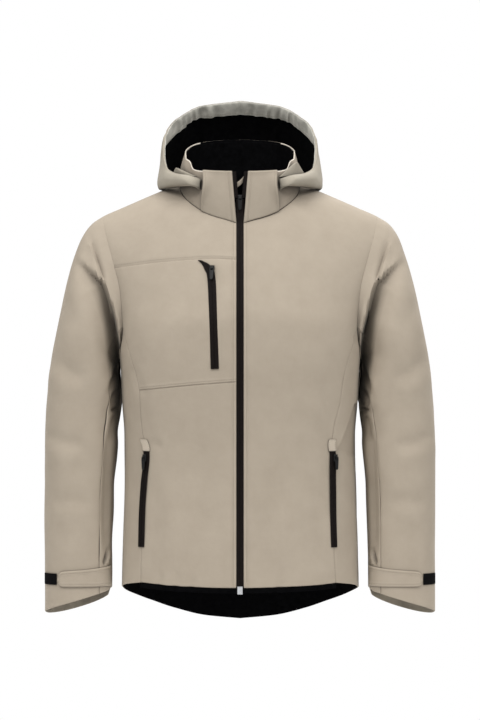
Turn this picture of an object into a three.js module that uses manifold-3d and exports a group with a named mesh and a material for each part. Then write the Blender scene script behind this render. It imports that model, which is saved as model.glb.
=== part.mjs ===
// A hooded softshell jacket, hollow, in the shape it takes on a standing wearer with the arms down.
// Units are millimetres. +Z is up, the front faces -Y, and +X is the wearer's left.
// The origin is the middle of the neck opening, level with the points where the neck meets the shoulders.
// Every cloth piece is a wall: an outer grid of points on the form, an inner grid one cloth thickness
// inside it, and an edge that joins them.
import Module from "manifold-3d";
import * as THREE from "three";

const manifold = await Module();
manifold.setup();
const { Manifold } = manifold;

// Driving dimensions
const clothThickness = 1.8;
const seamGap = 0.3;
const halfSeam = seamGap / 2;
const frontHemZ = -691;
const zipHalfWidth = 6.6;
const shoulderPoint = { x: 236, z: -63 };
const neckPoint = { x: 104, z: -6 };
const underarm = { x: 207, z: -310 };
const princessTopZ = -256;
const frontHemRise = 6;
const rowCounts = { skirt: 8, chest: 4, armhole: 4, yoke: 5 };
const frontColumns = 12;
const sideColumns = 8;
const crestY = 8;

// The torso, from below the hem to above the shoulders. fullness is the exponent of the ring's outline,
// where 2 is an ellipse and more is squarer. Above the underarm the rings are cut open by the armholes.
const torsoRings = [
  { z: -790, halfWidth: 206, front: 139, back: 137, fullness: 2.6 },
  { z: -691, halfWidth: 204, front: 138, back: 135, fullness: 2.6 },
  { z: -600, halfWidth: 201, front: 136, back: 131, fullness: 2.6 },
  { z: -500, halfWidth: 198, front: 134, back: 127, fullness: 2.6 },
  { z: -440, halfWidth: 197.5, front: 135, back: 126, fullness: 2.6 },
  { z: -380, halfWidth: 202, front: 138, back: 129, fullness: 2.7 },
  { z: -310, halfWidth: 206, front: 142, back: 134, fullness: 2.7 },
  { z: -256, halfWidth: 212, front: 142, back: 138, fullness: 2.5 },
  { z: -206, halfWidth: 229, front: 137, back: 137, fullness: 2.2 },
  { z: -151, halfWidth: 255, front: 131, back: 134, fullness: 2.05 },
  { z: -100, halfWidth: 285, front: 126, back: 130, fullness: 2 },
  { z: -60, halfWidth: 305, front: 124, back: 128, fullness: 2 },
  { z: 60, halfWidth: 350, front: 121, back: 125, fullness: 2 },
];

// The ridge of the shoulders, seen from the front. Inside the neck it is only a guide for the chest.
const shoulderCrest = [
  { x: 0, z: 25 },
  { x: 60, z: 12 },
  { x: 104, z: -6 },
  { x: 155, z: -27.5 },
  { x: 202, z: -48 },
  { x: 236, z: -63 },
  { x: 262, z: -80 },
  { x: 360, z: -160 },
];
// How the front and the back swell below the ridge: full depth is reached at reach below it.
const frontArch = { reach: 260, power: 1.8 };
const backArch = { reach: 240, power: 2 };

// Seam lines on the front and the back, as x against z or z against x
const frontPrincess = [
  { z: -691, x: 162 },
  { z: -628, x: 160.6 },
  { z: -550, x: 160 },
  { z: -464, x: 159.5 },
  { z: -413, x: 166 },
  { z: -352, x: 173 },
  { z: -320, x: 180 },
  { z: -284, x: 191 },
  { z: -256, x: 199 },
];
const backPrincess = [
  { z: -730, x: 163 },
  { z: -628, x: 161 },
  { z: -500, x: 160 },
  { z: -413, x: 168 },
  { z: -352, x: 177 },
  { z: -300, x: 189 },
  { z: -256, x: 200 },
];
const frontArmhole = [
  { z: -256, x: 199 },
  { z: -206, x: 202.5 },
  { z: -182, x: 206 },
  { z: -151, x: 214 },
  { z: -122, x: 222 },
  { z: -100, x: 228.5 },
  { z: -76, x: 234 },
  { z: -63, x: 236 },
];
const backArmhole = [
  { z: -256, x: 200 },
  { z: -206, x: 207 },
  { z: -182, x: 211.5 },
  { z: -151, x: 219 },
  { z: -122, x: 226 },
  { z: -100, x: 231 },
  { z: -76, x: 235 },
  { z: -63, x: 236 },
];
const frontNeckline = [
  { x: 0, z: -80.5 },
  { x: 20, z: -74 },
  { x: 40, z: -68 },
  { x: 60, z: -60 },
  { x: 82, z: -45.5 },
  { x: 97, z: -30 },
  { x: 102.6, z: -18 },
  { x: 104, z: -6 },
];
const backNeckline = [
  { x: 0, z: 0 },
  { x: 50, z: -5 },
  { x: 80, z: -6.8 },
  { x: 98, z: -6.6 },
  { x: 104, z: -6 },
];
const yokeSeam = [
  { x: 0, z: -142 },
  { x: 43, z: -139.5 },
  { x: 72, z: -140.3 },
  { x: 146, z: -145.4 },
  { x: 216, z: -154 },
];
const waistSeam = [
  { x: 0, z: -346.5 },
  { x: 73, z: -352 },
  { x: 175, z: -362 },
];
const backTail = [
  { x: 0, z: -767 },
  { x: 59, z: -761.5 },
  { x: 118, z: -746.5 },
  { x: 163, z: -729 },
];
// The sleeve's stations, from the armhole to the cuff, seen from the front: inner is the body side.
// merge is how far the section has turned from the armhole's outline into a rounded tube.
const sleeveStations = [
  { inner: [207, -310], outer: [236, -63], front: 66, back: 66, y: 8, merge: 0 },
  { inner: [208.6, -315], outer: [255, -76], front: 67, back: 67, y: 7, merge: 0.12 },
  { inner: [210, -320], outer: [271.5, -98], front: 69, back: 68, y: 6, merge: 0.3 },
  { inner: [210.6, -326], outer: [283.5, -128], front: 71, back: 69, y: 5, merge: 0.5 },
  { inner: [210.8, -332], outer: [293.5, -160], front: 72, back: 70, y: 4, merge: 0.7 },
  { inner: [210.6, -339], outer: [302, -196], front: 72, back: 70, y: 3, merge: 0.88 },
  { inner: [210, -348], outer: [309.5, -233], front: 71, back: 70, y: 2, merge: 1 },
  { inner: [209, -358], outer: [316.5, -272], front: 70, back: 69, y: 1, merge: 1 },
  { inner: [208.3, -371], outer: [323.5, -313], front: 69, back: 68, y: 0, merge: 1 },
  { inner: [208, -388], outer: [329.5, -356], front: 68, back: 67, y: 0, merge: 1 },
  { inner: [209, -412], outer: [334, -402], front: 66, back: 66, y: -1, merge: 1 },
  { inner: [212.5, -452], outer: [335, -452], front: 64, back: 65, y: -3, merge: 1 },
  { inner: [215.5, -510], outer: [335.3, -510], front: 61, back: 62, y: -7, merge: 1 },
  { inner: [217.6, -580], outer: [335, -580], front: 55, back: 56, y: -13, merge: 1 },
  { inner: [219, -650], outer: [334, -650], front: 48, back: 49, y: -20, merge: 1 },
];
const sleeveFullness = 2.3;
const sleeveRows = 24;
// The cuff is cut on a slant: long at the outer edge and at the back.
const cuffCut = { innerZ: -699, outerZ: -734, backDrop: 13, outerX: 331, innerX: 220 };

// The collar's top edge, by turn from the middle of the back (0) to the middle of the front (180)
const collarTop = [
  { turn: 0, x: 0, y: 62, z: 74 },
  { turn: 30, x: 44, y: 57.5, z: 71.5 },
  { turn: 60, x: 78, y: 38, z: 64.5 },
  { turn: 90, x: 93, y: 8, z: 50 },
  { turn: 115, x: 87.5, y: -25, z: 35 },
  { turn: 135, x: 71, y: -53, z: 20 },
  { turn: 150, x: 50, y: -68, z: 12 },
  { turn: 180, x: 13.5, y: -75, z: 9.5 },
];
const collarBulge = 2.5;
const collarRows = 4;
const innerCollarThickness = 1.4;
const innerCollarTurn = 178.6;
const collarFlap = { outerTurn: 142, lift: 0.5, thickness: 1.6 };

// The hood hangs open behind the collar. Each section runs from the neck seam, under and out round the
// bag, up to the rim. turn is 0 at the middle of the back and 1 at the front end under the collar flap.
const hoodSections = [
  {
    turn: 0,
    seam: [0, 67, 7],
    under: [0, 138, -80],
    belly: [0, 199, -8],
    upper: [0, 180, 88],
    rim: [0, 140, 149],
  },
  {
    turn: 0.2,
    seam: [40.8, 62.8, 4],
    under: [45, 133, -77],
    belly: [63, 189, -6],
    upper: [64, 170, 84],
    rim: [69.5, 129, 138.5],
  },
  {
    turn: 0.4,
    seam: [79, 48, 0],
    under: [92, 112, -58],
    belly: [111, 152, -4],
    upper: [113, 137, 70],
    rim: [109.5, 101, 115],
  },
  {
    turn: 0.52,
    seam: [98.5, 29, -2],
    under: [124, 68, -27],
    belly: [138.5, 88, 2],
    upper: [135.5, 84, 52],
    rim: [127.5, 77, 92],
  },
  {
    turn: 0.62,
    seam: [107.6, 12, -3],
    under: [131, 36, -19],
    belly: [142, 44, -1],
    upper: [138, 49, 38],
    rim: [131.8, 50, 71],
  },
  {
    turn: 0.7,
    seam: [134, 11, -15.5],
    under: [140, 12, -15.5],
    belly: [142.3, 16, -3],
    upper: [138, 22, 25],
    rim: [132, 26, 49],
  },
  {
    turn: 0.78,
    seam: [125.5, -13, -13],
    under: [128.5, -13, -8],
    belly: [129.5, -12, 0],
    upper: [128.6, -10, 11],
    rim: [126.5, -7, 22],
  },
  {
    turn: 0.86,
    seam: [107, -39, -10],
    under: [109, -39, -6.5],
    belly: [110.6, -38, -3],
    upper: [111, -36, 1],
    rim: [110, -33, 5],
  },
  {
    turn: 0.93,
    seam: [84, -65, -12],
    under: [85.5, -65.5, -9],
    belly: [86.3, -65.5, -6],
    upper: [86, -64.5, -3],
    rim: [84.5, -62, 0],
  },
  {
    turn: 1,
    seam: [67.5, -79, -24],
    under: [68, -79.5, -18.7],
    belly: [68, -79.5, -13.5],
    upper: [67.8, -79, -8.2],
    rim: [67.5, -78, -3],
  },
];
const hoodPeakDepth = 3;
const hoodPeak = [
  { name: "left", side: 1, base: [66, -66, 0], tip: [96, -40, 27], heel: [112, -24, 7] },
  { name: "right", side: -1, base: [72.5, -62.7, 1], tip: [108, -31.5, 18], heel: [115.7, -22.9, 9] },
];

// Zips, as centre lines on the front in x and z, with the width that shows
const chestZip = {
  width: 13.4,
  path: [
    { x: -70, z: -142.6 },
    { x: -63, z: -146.5 },
    { x: -54, z: -156 },
    { x: -48, z: -172 },
    { x: -45, z: -230 },
    { x: -42, z: -325 },
  ],
  widths: [1, 5, 12, 13.4, 13.4, 13.4],
};
const pocketZip = {
  width: 10.4,
  topZ: -464,
  bottomZ: -628,
  garageZ: -444,
};
const hemBand = { height: 9, thickness: 1.4 };
const cuffTab = {
  innerX: 221,
  endX: 309,
  innerTopZ: -660,
  endTopZ: -670,
  bottomZ: -695,
  lift: 0.6,
  thickness: 2,
};
const hookPatch = { innerX: 311, outerX: 332, topZ: -673, bottomZ: -692, lift: 0.5, thickness: 1.4 };
const mainSliderZ = -37;
const pocketSliderZ = -475;

// Long soft folds, as lines seen from the front: trough depth, width and the side that stands proud
const sleeveFold = {
  line: [
    { x: 284, z: -138, depth: 2 },
    { x: 262, z: -157, depth: 6 },
    { x: 241, z: -178, depth: 10 },
    { x: 228, z: -202, depth: 12 },
    { x: 217, z: -240, depth: 12 },
    { x: 210, z: -285, depth: 9 },
    { x: 206, z: -335, depth: 4 },
  ],
  width: 24,
  lip: 3,
};
const torsoFolds = [
  { x: 118, topZ: -420, bottomZ: -720, width: 26, depth: 2.6, drift: 14 },
  { x: 62, topZ: -520, bottomZ: -720, width: 22, depth: 1.8, drift: -10 },
  { x: -96, topZ: -450, bottomZ: -720, width: 28, depth: 2.4, drift: -16 },
  { x: -52, topZ: -560, bottomZ: -720, width: 20, depth: 1.6, drift: 8 },
  { x: 178, topZ: -330, bottomZ: -640, width: 20, depth: 2.2, drift: -12 },
  { x: -180, topZ: -330, bottomZ: -640, width: 20, depth: 2.2, drift: 12 },
];

// Small helpers
const clamp = (value, low, high) => Math.min(high, Math.max(low, value));
const lerp = (a, b, t) => a + (b - a) * t;
const smooth = (t) => {
  const s = clamp(t, 0, 1);
  return s * s * (3 - 2 * s);
};
const radians = (degrees) => (degrees * Math.PI) / 180;

// A smooth curve through a table, with no overshoot between its rows (monotone cubic)
function tableCurve(rows, key, column) {
  const xs = rows.map((row) => row[key]);
  const ys = rows.map((row) => row[column]);
  const steps = xs.slice(1).map((x, i) => (ys[i + 1] - ys[i]) / (x - xs[i]));
  const slopes = ys.map((_, i) => {
    if (i === 0) return steps[0];
    if (i === ys.length - 1) return steps[i - 1];
    if (steps[i - 1] * steps[i] <= 0) return 0;
    return (2 * steps[i - 1] * steps[i]) / (steps[i - 1] + steps[i]);
  });
  return (at) => {
    const x = clamp(at, xs[0], xs[xs.length - 1]);
    let i = 0;
    while (i < xs.length - 2 && x > xs[i + 1]) i += 1;
    const span = xs[i + 1] - xs[i];
    const t = (x - xs[i]) / span;
    const rise = ys[i] * (1 + 2 * t) * (1 - t) ** 2 + ys[i + 1] * t * t * (3 - 2 * t);
    return rise + span * (slopes[i] * t * (1 - t) ** 2 - slopes[i + 1] * t * t * (1 - t));
  };
}

// A smooth line through a list of points (Catmull-Rom), for t from 0 to 1
function splineThrough(points) {
  const last = points.length - 1;
  return (t) => {
    const s = clamp(t, 0, 1) * last;
    const i = Math.min(Math.floor(s), last - 1);
    const f = s - i;
    const [p0, p1, p2, p3] = [i - 1, i, i + 1, i + 2].map((k) => points[clamp(k, 0, last)]);
    return p1.map((_, axis) => {
      const [a, b, c, d] = [p0[axis], p1[axis], p2[axis], p3[axis]];
      return b + 0.5 * f * (c - a + f * (2 * a - 5 * b + 4 * c - d + f * (3 * (b - c) + d - a)));
    });
  };
}

// The torso's form
const halfWidthAt = tableCurve(torsoRings, "z", "halfWidth");
const frontDepthAt = tableCurve(torsoRings, "z", "front");
const backDepthAt = tableCurve(torsoRings, "z", "back");
const fullnessAt = tableCurve(torsoRings, "z", "fullness");
const crestAt = tableCurve(shoulderCrest, "x", "z");

function archRise(drop, arch) {
  const t = clamp(drop / arch.reach, 0, 1);
  return (1 - (1 - t) ** arch.power) ** (1 / arch.power);
}

const centreY = (z) => crestY * smooth((z + 300) / 300);

// How far long soft folds push the torso's cloth out at x, z
function torsoFoldAt(x, z) {
  return torsoFolds.reduce((sum, fold) => {
    const along = clamp((fold.topZ - z) / (fold.topZ - fold.bottomZ), 0, 1);
    const across = (x - fold.x - fold.drift * along) / fold.width;
    return sum + fold.depth * smooth(along * 1.6) * Math.exp(-across * across);
  }, 0);
}

// A point of the torso's outer face at x and z, on the front (side -1) or the back (side 1)
function torsoPoint(x, z, side) {
  const power = fullnessAt(z);
  const share = Math.min(Math.abs(x) / halfWidthAt(z), 1);
  const depth = side < 0 ? frontDepthAt(z) : backDepthAt(z);
  const rise = archRise(crestAt(Math.abs(x)) - z, side < 0 ? frontArch : backArch);
  const round = (1 - share ** power) ** (1 / power);
  const fold = torsoFoldAt(x, z) * smooth(round * 1.6);
  return [x, centreY(z) + side * (depth * rise * round + halfSeam * (1 - rise) + fold), z];
}

// The same face by turn round one side, drawn on the left: -90 is the middle of the front, 0 the side
function torsoRingPoint(turn, z, side = 1) {
  const power = fullnessAt(z);
  const angle = radians(turn);
  const x = halfWidthAt(z) * Math.abs(Math.cos(angle)) ** (2 / power);
  const depth = turn < 0 ? frontDepthAt(z) : backDepthAt(z);
  const rise = archRise(crestAt(x) - z, turn < 0 ? frontArch : backArch);
  const round = Math.abs(Math.sin(angle)) ** (2 / power);
  const fold = torsoFoldAt(side * x, z) * smooth(round * 1.6);
  return [x, centreY(z) + Math.sign(turn) * (depth * rise * round + halfSeam * (1 - rise) + fold), z];
}

// The turn on the ring at which the torso reaches x
function turnAt(x, z) {
  const share = clamp(x / halfWidthAt(z), 0, 1) ** (fullnessAt(z) / 2);
  return THREE.MathUtils.radToDeg(Math.acos(share));
}

// Walls

function normalOf(surface, a, b, stepA = 0.02, stepB = 0.02) {
  const at = (i, j) => new THREE.Vector3(...surface(a + i * stepA, b + j * stepB));
  const alongA = at(1, 0).sub(at(-1, 0));
  const alongB = at(0, 1).sub(at(0, -1));
  return alongA.cross(alongB).normalize();
}

// A closed wall from a grid of outer points and a grid of inner points, rows by columns
function wallBetween(outer, inner) {
  const rows = outer.length;
  const columns = outer[0].length;
  const count = rows * columns;
  const positions = [...outer.flat(), ...inner.flat()].flat();
  const index = [];
  const at = (r, c, layer) => layer * count + r * columns + c;
  const quad = (a, b, c, d) => index.push(a, b, c, a, c, d);
  for (let r = 0; r < rows - 1; r += 1) {
    for (let c = 0; c < columns - 1; c += 1) {
      quad(at(r, c, 0), at(r, c + 1, 0), at(r + 1, c + 1, 0), at(r + 1, c, 0));
      quad(at(r, c, 1), at(r + 1, c, 1), at(r + 1, c + 1, 1), at(r, c + 1, 1));
    }
  }
  for (let c = 0; c < columns - 1; c += 1) {
    quad(at(0, c, 0), at(0, c, 1), at(0, c + 1, 1), at(0, c + 1, 0));
    quad(at(rows - 1, c + 1, 0), at(rows - 1, c + 1, 1), at(rows - 1, c, 1), at(rows - 1, c, 0));
  }
  for (let r = 0; r < rows - 1; r += 1) {
    quad(at(r + 1, 0, 0), at(r + 1, 0, 1), at(r, 0, 1), at(r, 0, 0));
    const last = columns - 1;
    quad(at(r, last, 0), at(r, last, 1), at(r + 1, last, 1), at(r + 1, last, 0));
  }
  const geometry = new THREE.BufferGeometry();
  geometry.setAttribute("position", new THREE.Float32BufferAttribute(positions, 3));
  geometry.setIndex(index);
  return geometry;
}

// Turns a geometry whose faces point inwards the right way out
function facingOut(geometry) {
  const p = geometry.attributes.position;
  const index = geometry.index.array;
  const corner = (i) => new THREE.Vector3().fromBufferAttribute(p, index[i]);
  let volume = 0;
  for (let i = 0; i < index.length; i += 3) {
    volume += corner(i).dot(corner(i + 1).cross(corner(i + 2)));
  }
  if (volume < 0) {
    for (let i = 0; i < index.length; i += 3) {
      [index[i + 1], index[i + 2]] = [index[i + 2], index[i + 1]];
    }
  }
  geometry.computeVertexNormals();
  return geometry;
}

// A wall over a patch of a surface. patch(u, v) gives the surface's own coordinates for u and v from 0
// to 1, outward is 1 or -1 as the surface's normal points out or in, and lift moves the wall outwards.
function clothWall(surface, patch, columns, rows, options = {}) {
  const { outward = 1, thickness = clothThickness, lift = 0, normalAt } = options;
  const outer = [];
  const inner = [];
  for (let r = 0; r <= rows; r += 1) {
    outer.push([]);
    inner.push([]);
    for (let c = 0; c <= columns; c += 1) {
      const [a, b] = patch(c / columns, r / rows);
      const point = new THREE.Vector3(...surface(a, b));
      const normal = normalAt ? normalAt(a, b) : normalOf(surface, a, b).multiplyScalar(outward);
      outer[r].push(point.clone().addScaledVector(normal, lift + (lift ? thickness : 0)).toArray());
      inner[r].push(point.clone().addScaledVector(normal, lift ? lift : -thickness).toArray());
    }
  }
  return facingOut(wallBetween(outer, inner));
}

// A patch between four boundary lines, each a function of 0 to 1 (a Coons patch)
function patchBetween(left, right, bottom, top) {
  const corners = [left(0), right(0), left(1), right(1)];
  return (u, v) => {
    const [l, r, b, t] = [left(v), right(v), bottom(u), top(u)];
    return [0, 1].map(
      (k) =>
        lerp(l[k], r[k], u) +
        lerp(b[k], t[k], v) -
        lerp(lerp(corners[0][k], corners[1][k], u), lerp(corners[2][k], corners[3][k], u), v),
    );
  };
}

function mirrored(geometry) {
  const copy = geometry.clone();
  copy.applyMatrix4(new THREE.Matrix4().makeScale(-1, 1, 1));
  return facingOut(copy);
}

// Materials
const material = (color, roughness, metalness = 0) =>
  new THREE.MeshStandardMaterial({ color, roughness, metalness });
const shellCloth = material(0xb5a892, 0.85);
const liningCloth = material(0x111114, 0.95);
const tapeCloth = material(0x1b1819, 0.7);
const blackCoat = material(0x161414, 0.4, 0.2);
const bareMetal = material(0xb9bbbd, 0.3, 0.9);

const jacket = new THREE.Group();
jacket.name = "softshell_jacket";
function add(name, geometry, finish) {
  const mesh = new THREE.Mesh(geometry, finish);
  mesh.name = name;
  jacket.add(mesh);
  return mesh;
}

// Front, side and back panels
const frontPrincessAt = tableCurve(frontPrincess, "z", "x");
const backPrincessAt = tableCurve(backPrincess, "z", "x");
const frontArmholeAt = tableCurve(frontArmhole, "z", "x");
const backArmholeAt = tableCurve(backArmhole, "z", "x");
const frontNeckAt = tableCurve(frontNeckline, "x", "z");
const backNeckAt = tableCurve(backNeckline, "x", "z");
const yokeSeamAt = tableCurve(yokeSeam, "x", "z");
const waistSeamAt = tableCurve(waistSeam, "x", "z");
const tailAt = tableCurve(backTail, "x", "z");
const frontHemAt = (x) => frontHemZ + frontHemRise * (x / frontPrincess[0].x) ** 2;

const frontOuterX = (z) => (z < princessTopZ ? frontPrincessAt(z) : frontArmholeAt(z)) - halfSeam;
const backOuterX = (z) => (z < princessTopZ ? backPrincessAt(z) : backArmholeAt(z)) - halfSeam;
const frontSurface = (x, z) => torsoPoint(x, z, -1);
const centreEdge = zipHalfWidth + seamGap;
const shoulderZ = shoulderPoint.z;

// The height at which a seam line across the front reaches the panel's outer edge
function seamEndZ(seamAt) {
  let z = seamAt(160);
  for (let i = 0; i < 12; i += 1) z = seamAt(frontOuterX(z));
  return z;
}

// Heights of the panels' rows from the hem up. Panels that meet share them, so their seams run together.
function rowLevels(hemZ, waistZ) {
  const levels = [hemZ];
  const addEven = (to, count) => {
    const from = levels[levels.length - 1];
    for (let i = 1; i <= count; i += 1) levels.push(lerp(from, to, i / count));
  };
  addEven(waistZ, rowCounts.skirt);
  addEven(princessTopZ, rowCounts.chest);
  const yokeZ = seamEndZ(yokeSeamAt);
  addEven(yokeZ, rowCounts.armhole);
  for (let i = 1; i <= rowCounts.yoke; i += 1) {
    levels.push(lerp(shoulderZ, yokeZ, (1 - i / rowCounts.yoke) ** 2));
  }
  return levels;
}
const frontLevels = rowLevels(frontHemAt(frontPrincess[0].x), seamEndZ(waistSeamAt));
const backLevels = rowLevels(tailAt(163), seamEndZ(waistSeamAt));
const waistRow = rowCounts.skirt;
const underarmRow = waistRow + rowCounts.chest;
const yokeRow = underarmRow + rowCounts.armhole;
const shoulderRow = yokeRow + rowCounts.yoke;

// The top edge of a front or back half, from the middle along the neckline and the shoulder
function topEdge(startX, neckAt) {
  return (u) => {
    if (u < 0.5) {
      const x = lerp(startX, neckPoint.x, Math.sin(u * Math.PI));
      return [x, neckAt(x) - halfSeam];
    }
    const x = lerp(neckPoint.x, shoulderPoint.x - halfSeam, 2 * u - 1);
    return [x, crestAt(x)];
  };
}

// One piece of a front between two rows, drawn on the left half. bottomAt and topAt give its edges.
function frontPiece(side, fromRow, toRow, bottomAt, topAt) {
  const rows = toRow - fromRow;
  const levelAt = (v) => {
    const row = Math.round(v * rows);
    const nudge = { 0: halfSeam, [rows]: toRow === shoulderRow ? 0 : -halfSeam }[row] || 0;
    return frontLevels[fromRow + row] + (fromRow === 0 && row === 0 ? 0 : nudge);
  };
  const [lowZ, highZ] = [levelAt(0), levelAt(1)];
  const bottom = (u) => {
    const x = lerp(centreEdge, frontOuterX(lowZ), u);
    return [x, u === 1 ? lowZ : bottomAt(x)];
  };
  const top = topAt
    ? (u) => {
        const x = lerp(centreEdge, frontOuterX(highZ), u);
        return [x, u === 1 ? highZ : topAt(x)];
      }
    : topEdge(centreEdge, frontNeckAt);
  const left = (v) => {
    const share = (levelAt(v) - lowZ) / (highZ - lowZ);
    return [centreEdge, lerp(bottom(0)[1], top(0)[1], share)];
  };
  const right = (v) => [frontOuterX(levelAt(v)), levelAt(v)];
  const surface = (x, z) => [x, torsoPoint(side * x, z, -1)[1], z];
  return clothWall(surface, patchBetween(left, right, bottom, top), frontColumns, rows);
}

// The armhole's lowest stretch, as a height against the turn round the side
const armholeLimit = {
  front: turnAt(frontArmholeAt(princessTopZ) + halfSeam, princessTopZ),
  back: turnAt(backArmholeAt(princessTopZ) + halfSeam, princessTopZ),
};
function underarmCurve(turn) {
  const limit = turn < 0 ? armholeLimit.front : armholeLimit.back;
  return lerp(underarm.z, princessTopZ, clamp(Math.abs(turn) / limit, 0, 1) ** 2);
}

function sidePanel(side) {
  const row = (v) => Math.round(v * underarmRow);
  const left = (v) => {
    const z = frontLevels[row(v)] - (v === 1 ? halfSeam : 0);
    return [-turnAt(frontPrincessAt(z) + halfSeam, z), z];
  };
  const right = (v) => {
    const z = backLevels[row(v)] - (v === 1 ? halfSeam : 0);
    return [turnAt(backPrincessAt(z) + halfSeam, z), z];
  };
  const bottom = (u) => {
    const turn = lerp(left(0)[0], right(0)[0], u);
    return [turn, lerp(left(0)[1], right(0)[1], u * (0.4 + 0.6 * u))];
  };
  const top = (u) => {
    const turn = lerp(left(1)[0], right(1)[0], u);
    return [turn, underarmCurve(turn) - halfSeam];
  };
  const surface = (turn, z) => torsoRingPoint(turn, z, side);
  return clothWall(surface, patchBetween(left, right, bottom, top), sideColumns, underarmRow);
}

function backPanel() {
  const edge = (side) => (v) => {
    const z = backLevels[Math.round(v * shoulderRow)];
    return [side * backOuterX(z), z];
  };
  const half = topEdge(0, backNeckAt);
  const top = (u) => {
    const [x, z] = half(Math.abs(2 * u - 1));
    return [Math.sign(2 * u - 1) * x, z];
  };
  const hemWidth = backOuterX(backLevels[0]);
  const bottom = (u) => {
    const x = lerp(-1, 1, u) * hemWidth;
    return [x, u === 0 || u === 1 ? backLevels[0] : tailAt(Math.abs(x))];
  };
  const surface = (x, z) => torsoPoint(x, z, 1);
  const patch = patchBetween(edge(-1), edge(1), bottom, top);
  return clothWall(surface, patch, 2 * frontColumns, shoulderRow, { outward: -1 });
}

add("front_left", frontPiece(1, 0, shoulderRow, frontHemAt, null), shellCloth);
add(
  "front_right_lower",
  mirrored(frontPiece(-1, 0, waistRow, frontHemAt, (x) => waistSeamAt(x) - halfSeam)),
  shellCloth,
);
add(
  "front_right_chest",
  mirrored(
    frontPiece(-1, waistRow, yokeRow, (x) => waistSeamAt(x) + halfSeam, (x) => yokeSeamAt(x) - halfSeam),
  ),
  shellCloth,
);
add(
  "front_right_yoke",
  mirrored(frontPiece(-1, yokeRow, shoulderRow, (x) => yokeSeamAt(x) + halfSeam, null)),
  shellCloth,
);
add("side_left", sidePanel(1), shellCloth);
add("side_right", mirrored(sidePanel(-1)), shellCloth);
add("back", backPanel(), shellCloth);

// Hem bands, black, hanging below the front's lower edge
function hemStrip(side) {
  const patch = (u, v) => {
    const x = lerp(centreEdge, frontOuterX(frontLevels[0]), u);
    return [x, frontHemAt(x) - seamGap - hemBand.height * (1 - v)];
  };
  const surface = (x, z) => [x, torsoPoint(side * x, z, -1)[1], z];
  const geometry = clothWall(surface, patch, frontColumns, 1, { thickness: hemBand.thickness });
  return side > 0 ? geometry : mirrored(geometry);
}
add("hem_band_left", hemStrip(1), liningCloth);
add("hem_band_right", hemStrip(-1), liningCloth);

// Sleeves

// The armhole's outline by column: 0 is the shoulder point, then down the front, under and up the back
const armholeColumns = 2 * (shoulderRow - underarmRow) + sideColumns;
const armholeLoop = (() => {
  const points = [];
  const armholeRows = shoulderRow - underarmRow;
  const addPoint = (surface, a, b, outward) =>
    points.push({ point: surface(a, b), normal: normalOf(surface, a, b).multiplyScalar(outward) });
  const backSurface = (x, z) => torsoPoint(x, z, 1);
  for (let i = 0; i < armholeRows; i += 1) {
    const z = frontLevels[shoulderRow - i];
    addPoint(frontSurface, frontArmholeAt(z), z, 1);
  }
  for (let i = 0; i <= sideColumns; i += 1) {
    const turn = lerp(-armholeLimit.front, armholeLimit.back, i / sideColumns);
    addPoint(torsoRingPoint, turn, underarmCurve(turn), 1);
  }
  for (let i = armholeRows - 1; i > 0; i -= 1) {
    const z = frontLevels[shoulderRow - i];
    addPoint(backSurface, backArmholeAt(z), z, -1);
  }
  points[0].normal.set(0.4, 0, 0.92).normalize();
  return points;
})();
const frontSeamColumn = shoulderRow - underarmRow;
const backSeamColumn = frontSeamColumn + sideColumns;

// The angle round the sleeve of each column: 0 the outer edge, 90 the front, 180 the body side
const columnAngles = (() => {
  const lengths = [0];
  for (let i = 1; i <= armholeColumns; i += 1) {
    const [a, b] = [armholeLoop[i - 1].point, armholeLoop[i % armholeColumns].point];
    lengths.push(lengths[i - 1] + Math.hypot(...a.map((value, k) => value - b[k])));
  }
  const middle = lengths[armholeColumns / 2];
  const total = lengths[armholeColumns];
  return lengths.map((length) =>
    length <= middle ? (180 * length) / middle : 180 + (180 * (length - middle)) / (total - middle),
  );
})();

function columnMix(list, column, read) {
  const wrapped = ((column % armholeColumns) + armholeColumns) % armholeColumns;
  const i = Math.floor(wrapped);
  return read(list[i], list[(i + 1) % list.length], wrapped - i);
}
const degreesAt = (column) => {
  const wrapped = ((column % armholeColumns) + armholeColumns) % armholeColumns;
  const i = Math.floor(wrapped);
  return lerp(columnAngles[i], columnAngles[i + 1], wrapped - i);
};
const loopPointAt = (column) =>
  columnMix(armholeLoop, column, (a, b, t) => a.point.map((value, k) => lerp(value, b.point[k], t)));
const loopNormalAt = (column) =>
  columnMix(armholeLoop, column, (a, b, t) => a.normal.clone().lerp(b.normal, t).normalize());

const stationRows = sleeveStations.map((row, station) => ({
  station,
  innerX: row.inner[0],
  innerZ: row.inner[1],
  outerX: row.outer[0],
  outerZ: row.outer[1],
  front: row.front,
  back: row.back,
  y: row.y,
  merge: row.merge,
}));
const stationColumns = Object.fromEntries(
  ["innerX", "innerZ", "outerX", "outerZ", "front", "back", "y", "merge"].map((column) => [
    column,
    tableCurve(stationRows, "station", column),
  ]),
);
const lastStation = sleeveStations.length - 1;

// How far the deep fold under the sleeve's cap pushes the cloth in at x, z
function sleeveFoldAt(x, z) {
  let nearest = null;
  sleeveFold.line.slice(1).forEach((end, i) => {
    const start = sleeveFold.line[i];
    const [dx, dz] = [end.x - start.x, end.z - start.z];
    const t = clamp(((x - start.x) * dx + (z - start.z) * dz) / (dx * dx + dz * dz), 0, 1);
    const [ox, oz] = [x - start.x - dx * t, z - start.z - dz * t];
    const distance = Math.hypot(ox, oz);
    if (!nearest || distance < nearest.distance) {
      nearest = { distance, outside: ox * dz - oz * dx < 0, depth: lerp(start.depth, end.depth, t) };
    }
  });
  if (!nearest.outside) {
    return -sleeveFold.lip * (nearest.depth / 12) * Math.exp(-((nearest.distance / 16) ** 2));
  }
  const opening = smooth((nearest.distance + 3) / 9);
  return nearest.depth * opening * Math.exp(-nearest.distance / sleeveFold.width);
}

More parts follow.
